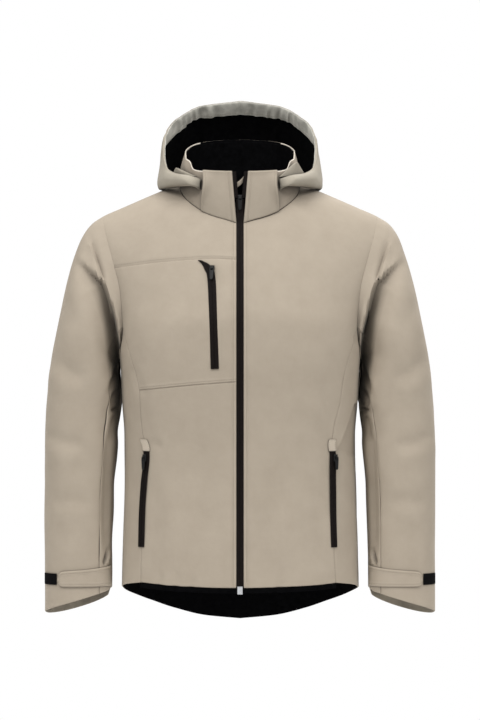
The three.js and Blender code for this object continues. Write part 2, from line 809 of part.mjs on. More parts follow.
const sleeveRound = (value) => Math.sign(value) * Math.abs(value) ** (2 / sleeveFullness);
const armholeSpan = (() => {
  const { inner, outer } = sleeveStations[0];
  const chord = [(outer[0] - inner[0]) / 2, (outer[1] - inner[1]) / 2];
  return {
    chord,
    middle: [(outer[0] + inner[0]) / 2, (outer[1] + inner[1]) / 2],
    reach: Math.hypot(...chord),
  };
})();

// A point of the left sleeve's outer face at a station (0 is the armhole) and a column round it
function sleevePoint(station, column) {
  const s = clamp(station, 0, lastStation + 1);
  const at = Object.fromEntries(Object.entries(stationColumns).map(([name, curve]) => [name, curve(s)]));
  const angle = radians(degreesAt(column));
  const chord = [(at.outerX - at.innerX) / 2, (at.outerZ - at.innerZ) / 2];
  const middle = [(at.outerX + at.innerX) / 2, (at.outerZ + at.innerZ) / 2];
  const loop = loopPointAt(column);
  const offset = [loop[0] - armholeSpan.middle[0], loop[2] - armholeSpan.middle[1]];
  const reach = armholeSpan.reach;
  const loopAlong = (offset[0] * armholeSpan.chord[0] + offset[1] * armholeSpan.chord[1]) / reach ** 2;
  const loopAside = (offset[0] * armholeSpan.chord[1] - offset[1] * armholeSpan.chord[0]) / reach;
  const along = lerp(loopAlong, sleeveRound(Math.cos(angle)), smooth(at.merge));
  const aside = loopAside * (1 - smooth(at.merge * 1.4));
  const depth = Math.sin(angle) > 0 ? at.front : at.back;
  const tubeY = at.y - depth * sleeveRound(Math.sin(angle));
  const length = Math.hypot(...chord);
  const x = middle[0] + chord[0] * along + (chord[1] / length) * aside + 2 * halfSeam;
  const z = middle[1] + chord[1] * along - (chord[0] / length) * aside;
  const y = lerp(loop[1], tubeY, smooth(at.merge * 1.1));
  const facing = smooth(Math.abs(Math.sin(angle)) * 1.5) * smooth(at.merge * 5);
  const fold = sleeveFoldAt(x, z) * facing * (Math.sin(angle) > 0 ? 1 : -0.6);
  const past = clamp(s - lastStation, 0, 1);
  return [x, y + fold, past > 0 ? lerp(z, cuffEdgeZ(x, y, at), past) : z];
}

// The height of the cuff's lower edge at x, y
function cuffEdgeZ(x, y, at) {
  const across = clamp((x - cuffCut.innerX) / (cuffCut.outerX - cuffCut.innerX), 0, 1);
  const behind = clamp((y - at.y + at.front) / (at.front + at.back), 0, 1);
  return lerp(cuffCut.innerZ, cuffCut.outerZ, across ** 0.85) - cuffCut.backDrop * behind * across;
}

// Stations for a share of the sleeve's length, closer together where the sleeve bends
function stationFor(v) {
  const tubeStart = 10;
  const bendShare = 0.6;
  if (v < bendShare) return lerp(0, tubeStart, v / bendShare);
  return lerp(tubeStart, lastStation + 1, (v - bendShare) / (1 - bendShare));
}

// The sleeve's first ring stands parallel to the armhole's edge, unless the cloth doubles back there
function sleeveNormal(station, column) {
  const own = normalOf(sleevePoint, Math.max(station, 0.03), column, 0.02, 0.5).multiplyScalar(-1);
  if (station > 0) return own;
  const edge = loopNormalAt(column);
  return own.lerp(edge, smooth((own.dot(edge) - 0.1) / 0.4)).normalize();
}

function sleevePanel(fromColumn, toColumn) {
  const columns = toColumn - fromColumn;
  const margin = 0.02;
  const patch = (u, v) => [stationFor(v), lerp(fromColumn + margin, toColumn - margin, u)];
  return clothWall(sleevePoint, patch, columns, sleeveRows, { normalAt: sleeveNormal });
}

const upperSleeve = sleevePanel(backSeamColumn - armholeColumns, frontSeamColumn);
const underSleeve = sleevePanel(frontSeamColumn, backSeamColumn);
add("sleeve_upper_left", upperSleeve, shellCloth);
add("sleeve_upper_right", mirrored(upperSleeve), shellCloth);
add("sleeve_under_left", underSleeve, shellCloth);
add("sleeve_under_right", mirrored(underSleeve), shellCloth);

// Cuff tabs and hook patches, laid over the sleeve's front near the cuff

// The sleeve's column whose outer face reaches x on the front, just above the cuff
function columnAtX(x) {
  let [low, high] = [0, frontSeamColumn + 3];
  for (let i = 0; i < 40; i += 1) {
    const middle = (low + high) / 2;
    if (sleevePoint(lastStation, middle)[0] > x) low = middle;
    else high = middle;
  }
  return (low + high) / 2;
}

function cuffStrip(innerX, outerX, topAt, bottomAt, options) {
  const [from, to] = [columnAtX(outerX), columnAtX(innerX)];
  const stops = [from];
  for (let i = Math.ceil(from + 0.05); i < to - 0.05; i += 1) stops.push(i);
  stops.push(to);
  const surface = (z, column) => {
    const [x, y] = sleevePoint(lastStation, column);
    return [x, y, z];
  };
  const patch = (u, v) => {
    const share = u * (stops.length - 1);
    const i = Math.min(Math.floor(share), stops.length - 2);
    const column = lerp(stops[i], stops[i + 1], share - i);
    const across = (column - from) / (to - from);
    return [lerp(bottomAt(across), topAt(across), v), column];
  };
  return clothWall(surface, patch, (stops.length - 1) * 2, 4, { outward: 1, ...options });
}

function cuffTabWall() {
  const rounding = (across) => Math.sqrt(clamp(1 - (1 - clamp(across / 0.09, 0, 1)) ** 2, 0.02, 1));
  const middleZ = (cuffTab.endTopZ + cuffTab.bottomZ) / 2;
  const topAt = (across) =>
    lerp(middleZ, lerp(cuffTab.endTopZ, cuffTab.innerTopZ, across), rounding(across));
  const bottomAt = (across) => lerp(middleZ, cuffTab.bottomZ, rounding(across));
  const { lift, thickness } = cuffTab;
  return cuffStrip(cuffTab.innerX, cuffTab.endX, topAt, bottomAt, { lift, thickness });
}
const tabGeometry = cuffTabWall();
add("cuff_tab_left", tabGeometry, shellCloth);
add("cuff_tab_right", mirrored(tabGeometry), shellCloth);
const patchGeometry = cuffStrip(
  hookPatch.innerX,
  hookPatch.outerX,
  () => hookPatch.topZ,
  () => hookPatch.bottomZ,
  { lift: hookPatch.lift, thickness: hookPatch.thickness },
);
add("cuff_hook_left", patchGeometry, tapeCloth);
add("cuff_hook_right", mirrored(patchGeometry), tapeCloth);

// Collar
const collarTopAt = Object.fromEntries(
  ["x", "y", "z"].map((axis) => [axis, tableCurve(collarTop, "turn", axis)]),
);

// The neck seam by turn: 0 is the middle of the back, 90 the side, 180 the middle of the front
function neckBase(turn) {
  if (turn >= 90) {
    const x = lerp(centreEdge, neckPoint.x, Math.sin(radians(180 - turn)));
    const z = frontNeckAt(x) + halfSeam;
    return [x, torsoPoint(x, z, -1)[1], z];
  }
  const x = neckPoint.x * Math.sin(radians(turn));
  const z = backNeckAt(x) + halfSeam;
  return [x, torsoPoint(x, z, 1)[1], z];
}

// The collar's outer face by signed turn and height share. Positive turns are on the wearer's left.
function collarPoint(turn, share) {
  const round = Math.min(Math.abs(turn), 180);
  const base = neckBase(round);
  const top = [collarTopAt.x(round), collarTopAt.y(round), collarTopAt.z(round)];
  const swell = collarBulge * Math.sin(Math.PI * share);
  const x = lerp(base[0], top[0], share) + swell * Math.sin(radians(round));
  const y = lerp(base[1], top[1], share) + swell * Math.cos(radians(round));
  return [turn < 0 ? -x : x, y, lerp(base[2], top[2], share)];
}

function collarWall(fromTurn, toTurn, columns, options) {
  const patch = (u, v) => [lerp(fromTurn, toTurn, u), v];
  return clothWall(collarPoint, patch, columns, collarRows, { outward: -1, ...options });
}
add("collar_outer", collarWall(-180, 180, 24, {}), shellCloth);
const innerLift = -(clothThickness + seamGap + innerCollarThickness);
add(
  "collar_inner",
  clothWall(
    collarPoint,
    (u, v) => [clamp(lerp(-180, 180, u), -innerCollarTurn, innerCollarTurn), v],
    24,
    collarRows,
    { outward: -1, lift: innerLift, thickness: innerCollarThickness },
  ),
  liningCloth,
);
const flapStops = [collarFlap.outerTurn, 150, 165, 180];
const flapGeometry = clothWall(
  collarPoint,
  (u, v) => [flapStops[Math.round(u * 3)], v],
  3,
  collarRows,
  { outward: -1, lift: collarFlap.lift, thickness: collarFlap.thickness },
);
add("collar_flap_left", flapGeometry, shellCloth);
add("collar_flap_right", mirrored(flapGeometry), shellCloth);

// Hood
const hoodLines = ["seam", "under", "belly", "upper", "rim"].map((line) =>
  ["x", "y", "z"].map((_, axis) =>
    tableCurve(
      hoodSections.map((section) => ({ turn: section.turn, value: section[line][axis] })),
      "turn",
      "value",
    ),
  ),
);

// The hood's outer face: turn runs from the middle of the back to the front end, share from seam to rim
function hoodPoint(turn, share) {
  const line = splineThrough(hoodLines.map((axes) => axes.map((curve) => curve(turn))));
  const [x, y, z] = line(share);
  return [x + halfSeam, y, z];
}
function hoodNormal(turn, share) {
  const normal = normalOf(hoodPoint, Math.max(turn, 0.02), clamp(share, 0.02, 0.98)).multiplyScalar(-1);
  if (turn === 0) normal.x = 0;
  return normal.normalize();
}
const hoodColumns = 16;
const hoodRows = 12;
const hoodHalf = clothWall(hoodPoint, (u, v) => [u, v], hoodColumns, hoodRows, { normalAt: hoodNormal });
add("hood_left", hoodHalf, shellCloth);
add("hood_right", mirrored(hoodHalf), shellCloth);
const hoodFacing = clothWall(
  hoodPoint,
  (u, v) => [u * 0.8125, lerp(1 - 2 / hoodRows, 1, v)],
  13,
  2,
  { normalAt: hoodNormal, lift: -(clothThickness + seamGap + 1.4), thickness: 1.4 },
);
add("hood_facing_left", hoodFacing, shellCloth);
add("hood_facing_right", mirrored(hoodFacing), shellCloth);

// The hood's front ends are folded up into small peaks beside the collar
hoodPeak.forEach(({ name, side, base, tip, heel }) => {
  const surface = (u, v) => {
    const foot = base.map((value, k) => lerp(value, heel[k], u));
    const head = tip.map((value, k) => value + (heel[k] - base[k]) * (u - 0.5) * 0.12);
    const bend = hoodPeakDepth * Math.sin(Math.PI * u) * (1 - v * 0.5);
    return foot.map((value, k) => lerp(value, head[k], v) + [0.6, -0.8, 0][k] * bend);
  };
  const geometry = clothWall(surface, (u, v) => [u, v], 6, 4);
  add("hood_fold_" + name, side > 0 ? geometry : mirrored(geometry), shellCloth);
});

// Main zip
const collarFrontLine = {
  base: neckBase(180), top: ["x", "y", "z"].map((axis) => collarTopAt[axis](180)),
};
const frontLineShare = (z) =>
  (z - collarFrontLine.base[2]) / (collarFrontLine.top[2] - collarFrontLine.base[2]);

// The middle of the front in side view: the torso up to the neck seam, and the collar above it
function centreFrontY(z) {
  if (z <= collarFrontLine.base[2]) return torsoPoint(0, z, -1)[1];
  return lerp(collarFrontLine.base[1], collarFrontLine.top[1], frontLineShare(z));
}
const centreSurface = (x, z) => [x, centreFrontY(z), z];
const zipTapeThickness = 1.4;
const zipRecess = { lift: -2.2, thickness: zipTapeThickness };

function mainZip() {
  const neckZ = collarFrontLine.base[2];
  const lowZ = frontHemZ - 2;
  const stops = [];
  for (let i = 0; i < 18; i += 1) stops.push(lerp(lowZ, neckZ, 1 - (1 - i / 18) ** 1.3));
  stops.push(neckZ, lerp(neckZ, mainSliderZ, 0.5), mainSliderZ - 1);
  const rows = stops.length - 1;
  const patch = (u, v) => [lerp(-zipHalfWidth, zipHalfWidth, u), stops[Math.round(v * rows)]];
  return clothWall(centreSurface, patch, 2, rows, zipRecess);
}
add("main_zip", mainZip(), tapeCloth);

// Above the slider the two halves of the zip part along the collar's front edges
const openTape = clothWall(
  centreSurface,
  (u, v) => {
    const z = lerp(mainSliderZ + 1, collarFrontLine.top[2], v);
    const edge = lerp(collarFrontLine.base[0], collarFrontLine.top[0], frontLineShare(z)) - seamGap;
    return [lerp(edge - zipHalfWidth + 0.5, edge, u), z];
  },
  2,
  3,
  zipRecess,
);
add("main_zip_open_left", openTape, tapeCloth);
add("main_zip_open_right", mirrored(openTape), tapeCloth);

// The guard at the top of the zip, a strip that sweeps down behind the opening
const guardLine = splineThrough([[11.6, -72.3, 9], [8, -72.9, 3], [1, -74, -5], [-8.5, -75, -12]]);
const guardSurface = (along, across) => {
  const [x, y, z] = guardLine(along);
  return [x, y + across * 1.2, z - across * 9];
};
add(
  "chin_guard",
  clothWall(guardSurface, (u, v) => [lerp(0.02, 0.98, u), v], 8, 2, { thickness: 1.4 }),
  shellCloth,
);

// Chest zip, its path in x and z with a width along it
const chestPath = splineThrough(chestZip.path.map(({ x, z }) => [x, z]));
const chestWidth = splineThrough(chestZip.widths.map((width) => [width]));
function chestZipPatch(u, v) {
  const t = 1 - v;
  const [x, z] = chestPath(t);
  const [ahead, behind] = [chestPath(t + 0.01), chestPath(t - 0.01)];
  const [dx, dz] = [ahead[0] - behind[0], ahead[1] - behind[1]];
  const across = ((u - 0.5) * chestWidth(t)[0]) / Math.hypot(dx, dz);
  return [x - dz * across, z + dx * across];
}
const raisedTape = { lift: 0.5, thickness: 1.2 };
add(
  "chest_zip",
  clothWall(frontSurface, chestZipPatch, 2, 20, raisedTape),
  tapeCloth,
);

// Pocket zips in the princess seams, each with a small cloth cover over its top end
function pocketStrip(side, fromZ, toZ, width, rows) {
  const surface = (x, z) => [x, torsoPoint(side * x, z, -1)[1], z];
  const patch = (u, v) => {
    const z = lerp(fromZ, toZ, v);
    return [frontPrincessAt(z) + (u - 0.5) * width, z];
  };
  const geometry = clothWall(surface, patch, 2, rows, raisedTape);
  return side > 0 ? geometry : mirrored(geometry);
}
[["left", 1], ["right", -1]].forEach(([name, side]) => {
  const { width, topZ, bottomZ, garageZ } = pocketZip;
  add("pocket_zip_" + name, pocketStrip(side, bottomZ, topZ, width, 8), tapeCloth);
  add("pocket_garage_" + name, pocketStrip(side, topZ + seamGap, garageZ, width + 2, 2), shellCloth);
});

// Sliders and pull tabs
const slider = { width: 8, length: 12, height: 2.2 };
const crown = { width: 4, radius: 2.4, pinY: 3.4, hole: 1.2 };
const pull = {
  width: 7,
  length: 20,
  thickness: 1.2,
  pin: 1.2,
  windowWidth: 4.6,
  windowEnd: 3.3,
  tipRadius: 2.6,
};

function geometryFrom(solid) {
  const { vertProperties, triVerts, numProp } = solid.getMesh();
  const geometry = new THREE.BufferGeometry();
  const positions = [];
  for (let i = 0; i < vertProperties.length; i += numProp) {
    positions.push(vertProperties[i], vertProperties[i + 1], vertProperties[i + 2]);
  }
  geometry.setAttribute("position", new THREE.Float32BufferAttribute(positions, 3));
  geometry.setIndex(Array.from(triVerts));
  return geometry;
}
const block = (x, y, z, at) => Manifold.cube([x, y, z], true).translate(at);

// The slider lies on the tape, with a crown that holds the pull tab's pin. Local Y points off the cloth.
function sliderSolid() {
  const { width, length, height } = slider;
  const plate = block(width, height * 0.5, length, [0, height * 0.25, 0]);
  const face = block(width - 2, height * 0.5, length - 3, [0, height * 0.75, 0]);
  const body = Manifold.hull([plate, face]);
  const disc = Manifold.cylinder(crown.width, crown.radius, crown.radius, 20, true).rotate([0, 90, 0]);
  const neck = block(crown.width, crown.pinY, crown.radius * 2, [0, crown.pinY / 2, 0]);
  const hole = Manifold.cylinder(crown.width + 2, crown.hole, crown.hole, 16, true).rotate([0, 90, 0]);
  const pinHeight = [0, crown.pinY, 0];
  return body.add(disc.translate(pinHeight)).add(neck).subtract(hole.translate(pinHeight));
}

// The pull tab hangs from a pin through the crown, with a window that clears the crown
function pullSolid() {
  const { width, length, thickness, pin, windowWidth, windowEnd, tipRadius } = pull;
  const frame = block(width, thickness, windowEnd + pin / 2 + 1, [0, 0, (pin / 2 - windowEnd - 1) / 2]);
  const disc = Manifold.cylinder(thickness, tipRadius, tipRadius, 20, true).rotate([90, 0, 0]);
  const tip = disc.translate([0, 0, tipRadius - length]);
  const shank = Manifold.hull([block(width, thickness, 1, [0, 0, -windowEnd - 0.5]), tip]);
  const gap = windowEnd - pin / 2;
  const window = block(windowWidth, thickness * 3, gap, [0, 0, -pin / 2 - gap / 2]);
  return frame.add(shank).subtract(window);
}

// A frame on a surface: Y off the cloth, Z up along it, and the height of the origin above the face
function frameOn(point, normal, height) {
  const y = normal.clone().normalize();
  const x = y.clone().cross(new THREE.Vector3(0, 0, 1)).normalize();
  const z = x.clone().cross(y);
  const matrix = new THREE.Matrix4().makeBasis(x, y, z);
  return matrix.setPosition(point.clone().addScaledVector(y, height));
}

// Where each slider sits and how far its base stands off the cloth's face
const pocketSliderX = frontPrincessAt(pocketSliderZ);
const sliders = [
  { name: "main", x: 0, z: mainSliderZ, height: -0.5, surface: centreSurface },
  { name: "chest", x: -46.8, z: -158, height: 2, surface: frontSurface },
  { name: "pocket_left", x: pocketSliderX, z: pocketSliderZ, height: 2, surface: frontSurface },
  { name: "pocket_right", x: -pocketSliderX, z: pocketSliderZ, height: 2, surface: frontSurface },
];
const sliderShape = geometryFrom(sliderSolid());
const pullShape = geometryFrom(pullSolid());
sliders.forEach(({ name, x, z, height, surface }) => {
  const point = new THREE.Vector3(...surface(x, z));
  const normal = normalOf(surface, x, z);
  const sliderGeometry = sliderShape.clone().applyMatrix4(frameOn(point, normal, height));
  add(name + "_slider", facingOut(sliderGeometry), blackCoat);
  const pin = point.clone().addScaledVector(normal.clone().normalize(), height + crown.pinY);
  const leaning = normal.clone().setZ(Math.max(normal.z, 0.03));
  const pullGeometry = pullShape.clone().applyMatrix4(frameOn(pin, leaning, 0));
  const mesh = add(name + "_pull", facingOut(pullGeometry), blackCoat);
  const axis = new THREE.Vector3(normal.y, -normal.x, 0).normalize();
  mesh.userData.pin = { pos: pin.toArray(), axis: axis.toArray() };
});

// The box at the zip's lower end
const zipBox = block(8.6, 3, 13, [0, centreFrontY(frontHemZ) - 1.7, frontHemZ - 4]);
add("zip_box", facingOut(geometryFrom(zipBox)), bareMetal);

export default jacket;
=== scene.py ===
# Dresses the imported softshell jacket: fine cloth over its solids, stitching, zip coils, finishes, camera and light.
# Shapes are worked out in millimetres in the part's own frame and go into the meshes in metres.
import math

import bpy
import numpy as np
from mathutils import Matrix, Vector


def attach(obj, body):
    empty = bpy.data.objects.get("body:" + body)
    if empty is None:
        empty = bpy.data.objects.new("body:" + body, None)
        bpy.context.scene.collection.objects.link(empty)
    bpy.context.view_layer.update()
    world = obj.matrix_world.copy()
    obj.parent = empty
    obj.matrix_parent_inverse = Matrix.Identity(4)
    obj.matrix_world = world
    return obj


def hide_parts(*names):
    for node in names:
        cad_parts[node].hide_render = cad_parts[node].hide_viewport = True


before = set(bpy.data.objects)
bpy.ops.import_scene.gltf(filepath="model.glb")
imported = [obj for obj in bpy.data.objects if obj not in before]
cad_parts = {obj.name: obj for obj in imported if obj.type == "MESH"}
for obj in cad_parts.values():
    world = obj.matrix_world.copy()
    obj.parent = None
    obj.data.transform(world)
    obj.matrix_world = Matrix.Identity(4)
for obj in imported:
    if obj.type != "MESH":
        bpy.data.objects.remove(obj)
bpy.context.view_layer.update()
scene = bpy.context.scene
metresPerMm = 0.001
body = "jacket"
sideWords = {1: "left", -1: "right"}  # the wearer's sides, by the sign of x


# Small maths

def clamp01(t):
    return np.clip(t, 0, 1)


def smooth(t):  # eases from 0 to 1
    t = clamp01(t)
    return t * t * (3 - 2 * t)


def mix(a, b, t):
    return a + (b - a) * t


def tableCurve(rows):
    # monotone cubic through (x, y) rows: the slope inside is the harmonic mean of the two steps beside it
    xs, ys = np.array(rows, float).T
    steps = np.diff(ys) / np.diff(xs)
    slopes = np.concatenate([steps[:1], np.zeros(len(xs) - 2), steps[-1:]])
    before, after = steps[:-1], steps[1:]
    agree = before * after > 0
    slopes[1:-1] = np.where(agree, 2 * before * after / np.where(agree, before + after, 1), 0)

    def at(x):
        x = np.clip(x, xs[0], xs[-1])
        i = np.clip(np.searchsorted(xs, x, side="right") - 1, 0, len(xs) - 2)
        span = xs[i + 1] - xs[i]
        t = (x - xs[i]) / span
        rise = ys[i] * (1 + 2 * t) * (1 - t) ** 2 + ys[i + 1] * t * t * (3 - 2 * t)
        return rise + span * (slopes[i] * t * (1 - t) ** 2 - slopes[i + 1] * t * t * (1 - t))

    return at


def splineThrough(points, t):
    # Catmull-Rom line through points, read at t from 0 to 1; points may be (n, k) or (n, ..., k) with t alike
    points = np.asarray(points, float)
    last = len(points) - 1
    s = clamp01(np.asarray(t, float)) * last
    i = np.minimum(np.floor(s).astype(int), last - 1)
    f = (s - i)[..., None]
    a, b, c, d = (points[np.clip(i + k, 0, last)] for k in (-1, 0, 1, 2))
    return b + 0.5 * f * (c - a + f * (2 * a - 5 * b + 4 * c - d + f * (3 * (b - c) + d - a)))


def lengthsAlong(points, axis):
    # running length of a grid's lines, from 0 at their start
    steps = np.linalg.norm(np.diff(points, axis=axis), axis=-1)
    start = np.zeros_like(np.take(steps, [0], axis=axis))
    return np.concatenate([start, np.cumsum(steps, axis=axis)], axis=axis)


def softWaves(a, b, seed, size, depth):
    # broad unevenness of hung cloth: eight sine waves of seeded directions, lengths about size, summed
    rng = np.random.default_rng(seed)
    angles, phases = rng.uniform(0, math.pi, 8), rng.uniform(0, 2 * math.pi, 8)
    lengths, heights = size * rng.uniform(0.6, 1.7, 8), depth * rng.uniform(0.15, 0.45, 8)
    total = 0
    for angle, phase, length, height in zip(angles, phases, lengths, heights):
        along = a * math.cos(angle) + 0.6 * b * math.sin(angle)
        total = total + height * np.sin(2 * math.pi * along / length + phase)
    return total


def creaseField(a, b, creases):
    # creases are lines on the cloth. s is the signed distance to the line, t how far along it, and each adds
    # -depth at the line, lip on its positive side, and a setBack of everything beyond, faded at both ends
    total = np.zeros_like(a)
    for crease in creases:
        width, depth, lip = crease["width"], crease["depth"], crease.get("lip", 0)
        line = splineThrough(crease["path"], np.linspace(0, 1, 20))
        nearest = np.full(a.shape, 1e9)
        signed, along = np.zeros_like(a), np.zeros_like(a)
        for i in range(len(line) - 1):
            (x0, z0), (dx, dz) = line[i], line[i + 1] - line[i]
            t = clamp01(((a - x0) * dx + (b - z0) * dz) / (dx * dx + dz * dz))
            ox, oz = a - x0 - dx * t, b - z0 - dz * t
            distance = np.hypot(ox, oz)
            closer = distance < nearest
            nearest = np.where(closer, distance, nearest)
            signed = np.where(closer, distance * np.sign(dx * oz - dz * ox), signed)
            along = np.where(closer, (i + t) / (len(line) - 1), along)
        fadeIn, fadeOut = crease.get("fade", (0.3, 0.3))
        fade = smooth(along / max(fadeIn, 1e-3)) * smooth((1 - along) / max(fadeOut, 1e-3))
        relief = -depth * np.exp(-(signed / width) ** 2)
        relief = relief + lip * np.exp(-((signed - 1.8 * width) / (1.3 * width)) ** 2)
        if "setBack" in crease:
            reach = crease["reach"]
            beyond = smooth(signed / width + 0.5) * smooth((reach - signed) / reach * 2)
            relief = relief - crease["setBack"] * beyond
        total = total + relief * fade
    return total


# Materials

def newMaterial(name, settings):
    material = bpy.data.materials.new(name)
    material.use_nodes = True
    shader = material.node_tree.nodes["Principled BSDF"]
    for socket, value in settings.items():
        shader.inputs[socket].default_value = value
    return material, material.node_tree.nodes, material.node_tree.links, shader


def addNode(nodes, kind, settings=None, **properties):
    node = nodes.new(kind)
    for key, value in properties.items():
        setattr(node, key, value)
    for socket, value in (settings or {}).items():
        node.inputs[socket].default_value = value
    return node


def stackBumps(nodes, links, shader, layers):
    # layers of (height output, bump distance in metres, strength) laid over each other
    previous = None
    for height, distance, strength in layers:
        bump = addNode(nodes, "ShaderNodeBump", {"Distance": distance, "Strength": strength})
        links.new(height, bump.inputs["Height"])
        if previous:
            links.new(previous.outputs["Normal"], bump.inputs["Normal"])
        previous = bump
    links.new(previous.outputs["Normal"], shader.inputs["Normal"])


def noiseOn(nodes, links, source, settings, kind="ShaderNodeTexNoise"):
    # a noise read at the source's coordinates
    noise = addNode(nodes, kind, settings)
    links.new(source, noise.inputs["Vector"])
    return noise.outputs


def mottledColour(nodes, links, source, shader, look, scale):
    # colour wandering between the look's low and high with a noise of this scale
    noise = noiseOn(nodes, links, source, {"Scale": scale, "Detail": 4, "Roughness": 0.62})
    ramp = addNode(nodes, "ShaderNodeValToRGB")
    ends = ramp.color_ramp.elements
    ends[0].position, ends[1].position = 0.3, 0.7
    ends[0].color, ends[1].color = (*look["low"], 1), (*look["high"], 1)
    links.new(noise["Fac"], ramp.inputs["Fac"])
    links.new(ramp.outputs["Color"], shader.inputs["Base Color"])


def spreadRoughness(nodes, links, shader, height, limits):
    # roughness wandering between two limits as the height does
    spread = addNode(nodes, "ShaderNodeMapRange", {"To Min": limits[0], "To Max": limits[1]})
    links.new(height, spread.inputs["Value"])
    links.new(spread.outputs["Result"], shader.inputs["Roughness"])


def weaveHeight(nodes, links, source, threadMm):
    # plain weave: crossed bands a thread apart in the cloth's own directions
    scale = 2 * math.pi / (20 * threadMm * metresPerMm)
    product = addNode(nodes, "ShaderNodeMath", operation="MULTIPLY")
    for place, direction in enumerate(("X", "Y")):
        wave = addNode(nodes, "ShaderNodeTexWave",
                       {"Scale": scale, "Distortion": 0.6, "Detail": 1, "Detail Scale": 0.4},
                       wave_type="BANDS", bands_direction=direction, wave_profile="SIN")
        links.new(source, wave.inputs["Vector"])
        links.new(wave.outputs["Fac"], product.inputs[place])
    return product.outputs[0]


def shadeHollows(nodes, links, shader, reach, power):
    # painted shade: darkens the base colour by its ambient occlusion in folds and gaps where cloth lies against cloth
    hollow = addNode(nodes, "ShaderNodeAmbientOcclusion", {"Distance": reach}, samples=8)
    deepen = addNode(nodes, "ShaderNodeMath", {1: power}, operation="POWER")
    links.new(hollow.outputs["AO"], deepen.inputs[0])
    tint = addNode(nodes, "ShaderNodeMix", data_type="RGBA", blend_type="MULTIPLY")
    tint.inputs["Factor"].default_value = 1
    source = shader.inputs["Base Color"].links[0].from_socket
    links.new(source, tint.inputs["A"])
    links.new(deepen.outputs[0], tint.inputs["B"])
    links.new(tint.outputs["Result"], shader.inputs["Base Color"])


def clothUv(nodes):
    return addNode(nodes, "ShaderNodeUVMap", uv_map="clothUv").outputs["UV"]


def objectPlace(nodes):
    return addNode(nodes, "ShaderNodeTexCoord").outputs["Object"]


# the shell cloth's finishes. Colours wander from low to high, threadMm is the weave's thread, weave the strength
# of its bump, hollowReach in metres how far a hollow is felt and hollowPower how deep its painted shade darkens the
# colour.
usualCloth = {"threadMm": 0.62, "weave": 0.35, "hollowReach": 0.026, "hollowPower": 0.9}
clothLooks = {
    "shell": {"name": "softshellFace", "low": (0.366, 0.310, 0.243), "high": (0.396, 0.337, 0.266)},
    # the hood facing: its own greyer tone, made lighter than that cloth as painted light where it lies turned in
    "facing": {"name": "facingLitCloth", "low": (0.40, 0.39, 0.34), "high": (0.86, 0.835, 0.75)},
    # the hood's and the collar flaps' cloth: darker copies of the shell's colours, the hood's also greyer
    "hoodShell": {"name": "hoodCloth", "low": (0.322, 0.288, 0.231), "high": (0.362, 0.326, 0.264)},
    "flapShell": {"name": "flapCloth", "low": (0.322, 0.275, 0.216), "high": (0.350, 0.300, 0.237)},
    # the collar: the shell's colours with deeper painted shade in its hollows, for the shade under the hood's ends
    "collarShadedShell": {"name": "collarShadedCloth", "low": (0.366, 0.310, 0.243), "high": (0.396, 0.337, 0.266),
                    "hollowReach": 0.05, "hollowPower": 1.5},
    # a paler copy of the shell: painted highlight along the collar's top edge
    "rimHighlight": {"name": "rimHighlightCloth", "low": (0.62, 0.565, 0.485), "high": (0.68, 0.62, 0.535)},
    # a paler copy of the shell: painted light on the pocket garages
    "garageLitShell": {"name": "garageLitCloth", "low": (0.47, 0.405, 0.325), "high": (0.52, 0.45, 0.365)},
    # the shell turned in at the cuff, coloured darker than the shell as painted shade where it lies inside the sleeve
    "cuffFacingShaded": {"name": "cuffFacingShadedCloth", "low": (0.17, 0.148, 0.114), "high": (0.33, 0.286, 0.22),
                   "threadMm": 0.9, "weave": 0.7},
}
fleeceLook = {"name": "brushedFleece", "low": (0.0008, 0.0008, 0.001), "high": (0.0028, 0.0028, 0.0032)}
tapeLooks = {
    "tape": {"name": "zipTape", "low": (0.0045, 0.003, 0.0026), "high": (0.0105, 0.0075, 0.0066),
             "ribMm": 0.5, "roughness": 0.62},
    "coil": {"name": "zipCoil", "low": (0.0045, 0.0032, 0.0028), "high": (0.0105, 0.0078, 0.007),
             "ribMm": 0.9, "roughness": 0.55},
    "thread": {"name": "sewingThread", "low": (0.33, 0.287, 0.225), "high": (0.37, 0.322, 0.255),
               "ribMm": 0.3, "roughness": 0.7},
}
hookLook = {"name": "hookTape", "low": (0.0016, 0.0015, 0.0016), "high": (0.006, 0.0055, 0.006), "loopScale": 900}
hardLooks = {
    "coat": {"name": "blackCoat", "low": (0.003, 0.003, 0.003), "high": (0.008, 0.008, 0.008),
             "roughness": (0.4, 0.55), "metallic": 0.0, "grain": 0.3},
    "metal": {"name": "zipMetal", "low": (0.52, 0.53, 0.54), "high": (0.68, 0.69, 0.70),
              "roughness": (0.22, 0.4), "metallic": 0.95, "grain": 0.5},
}


def shellMaterial(look):
    # matte woven face: mottled tint, soft dents, a plain weave and a fine grain over it
    material, nodes, links, shader = newMaterial(look["name"], {
        "Roughness": 0.78, "Specular IOR Level": 0.32, "Sheen Weight": 0.12, "Sheen Roughness": 0.45,
        "Sheen Tint": (0.86, 0.80, 0.70, 1)})
    uv, place = clothUv(nodes), objectPlace(nodes)
    mottledColour(nodes, links, place, shader, look, 26)
    shadeHollows(nodes, links, shader, look["hollowReach"], look["hollowPower"])
    grain = noiseOn(nodes, links, uv, {"Scale": 1500, "Detail": 2})
    dents = noiseOn(nodes, links, place, {"Scale": 45, "Detail": 3, "Roughness": 0.55})
    spreadRoughness(nodes, links, shader, dents["Fac"], (0.7, 0.86))
    weave = weaveHeight(nodes, links, uv, look["threadMm"])
    stackBumps(nodes, links, shader, [
        (dents["Fac"], 0.0011, 0.5), (weave, 0.00009, look["weave"]), (grain["Fac"], 0.00006, 0.4)])
    return material


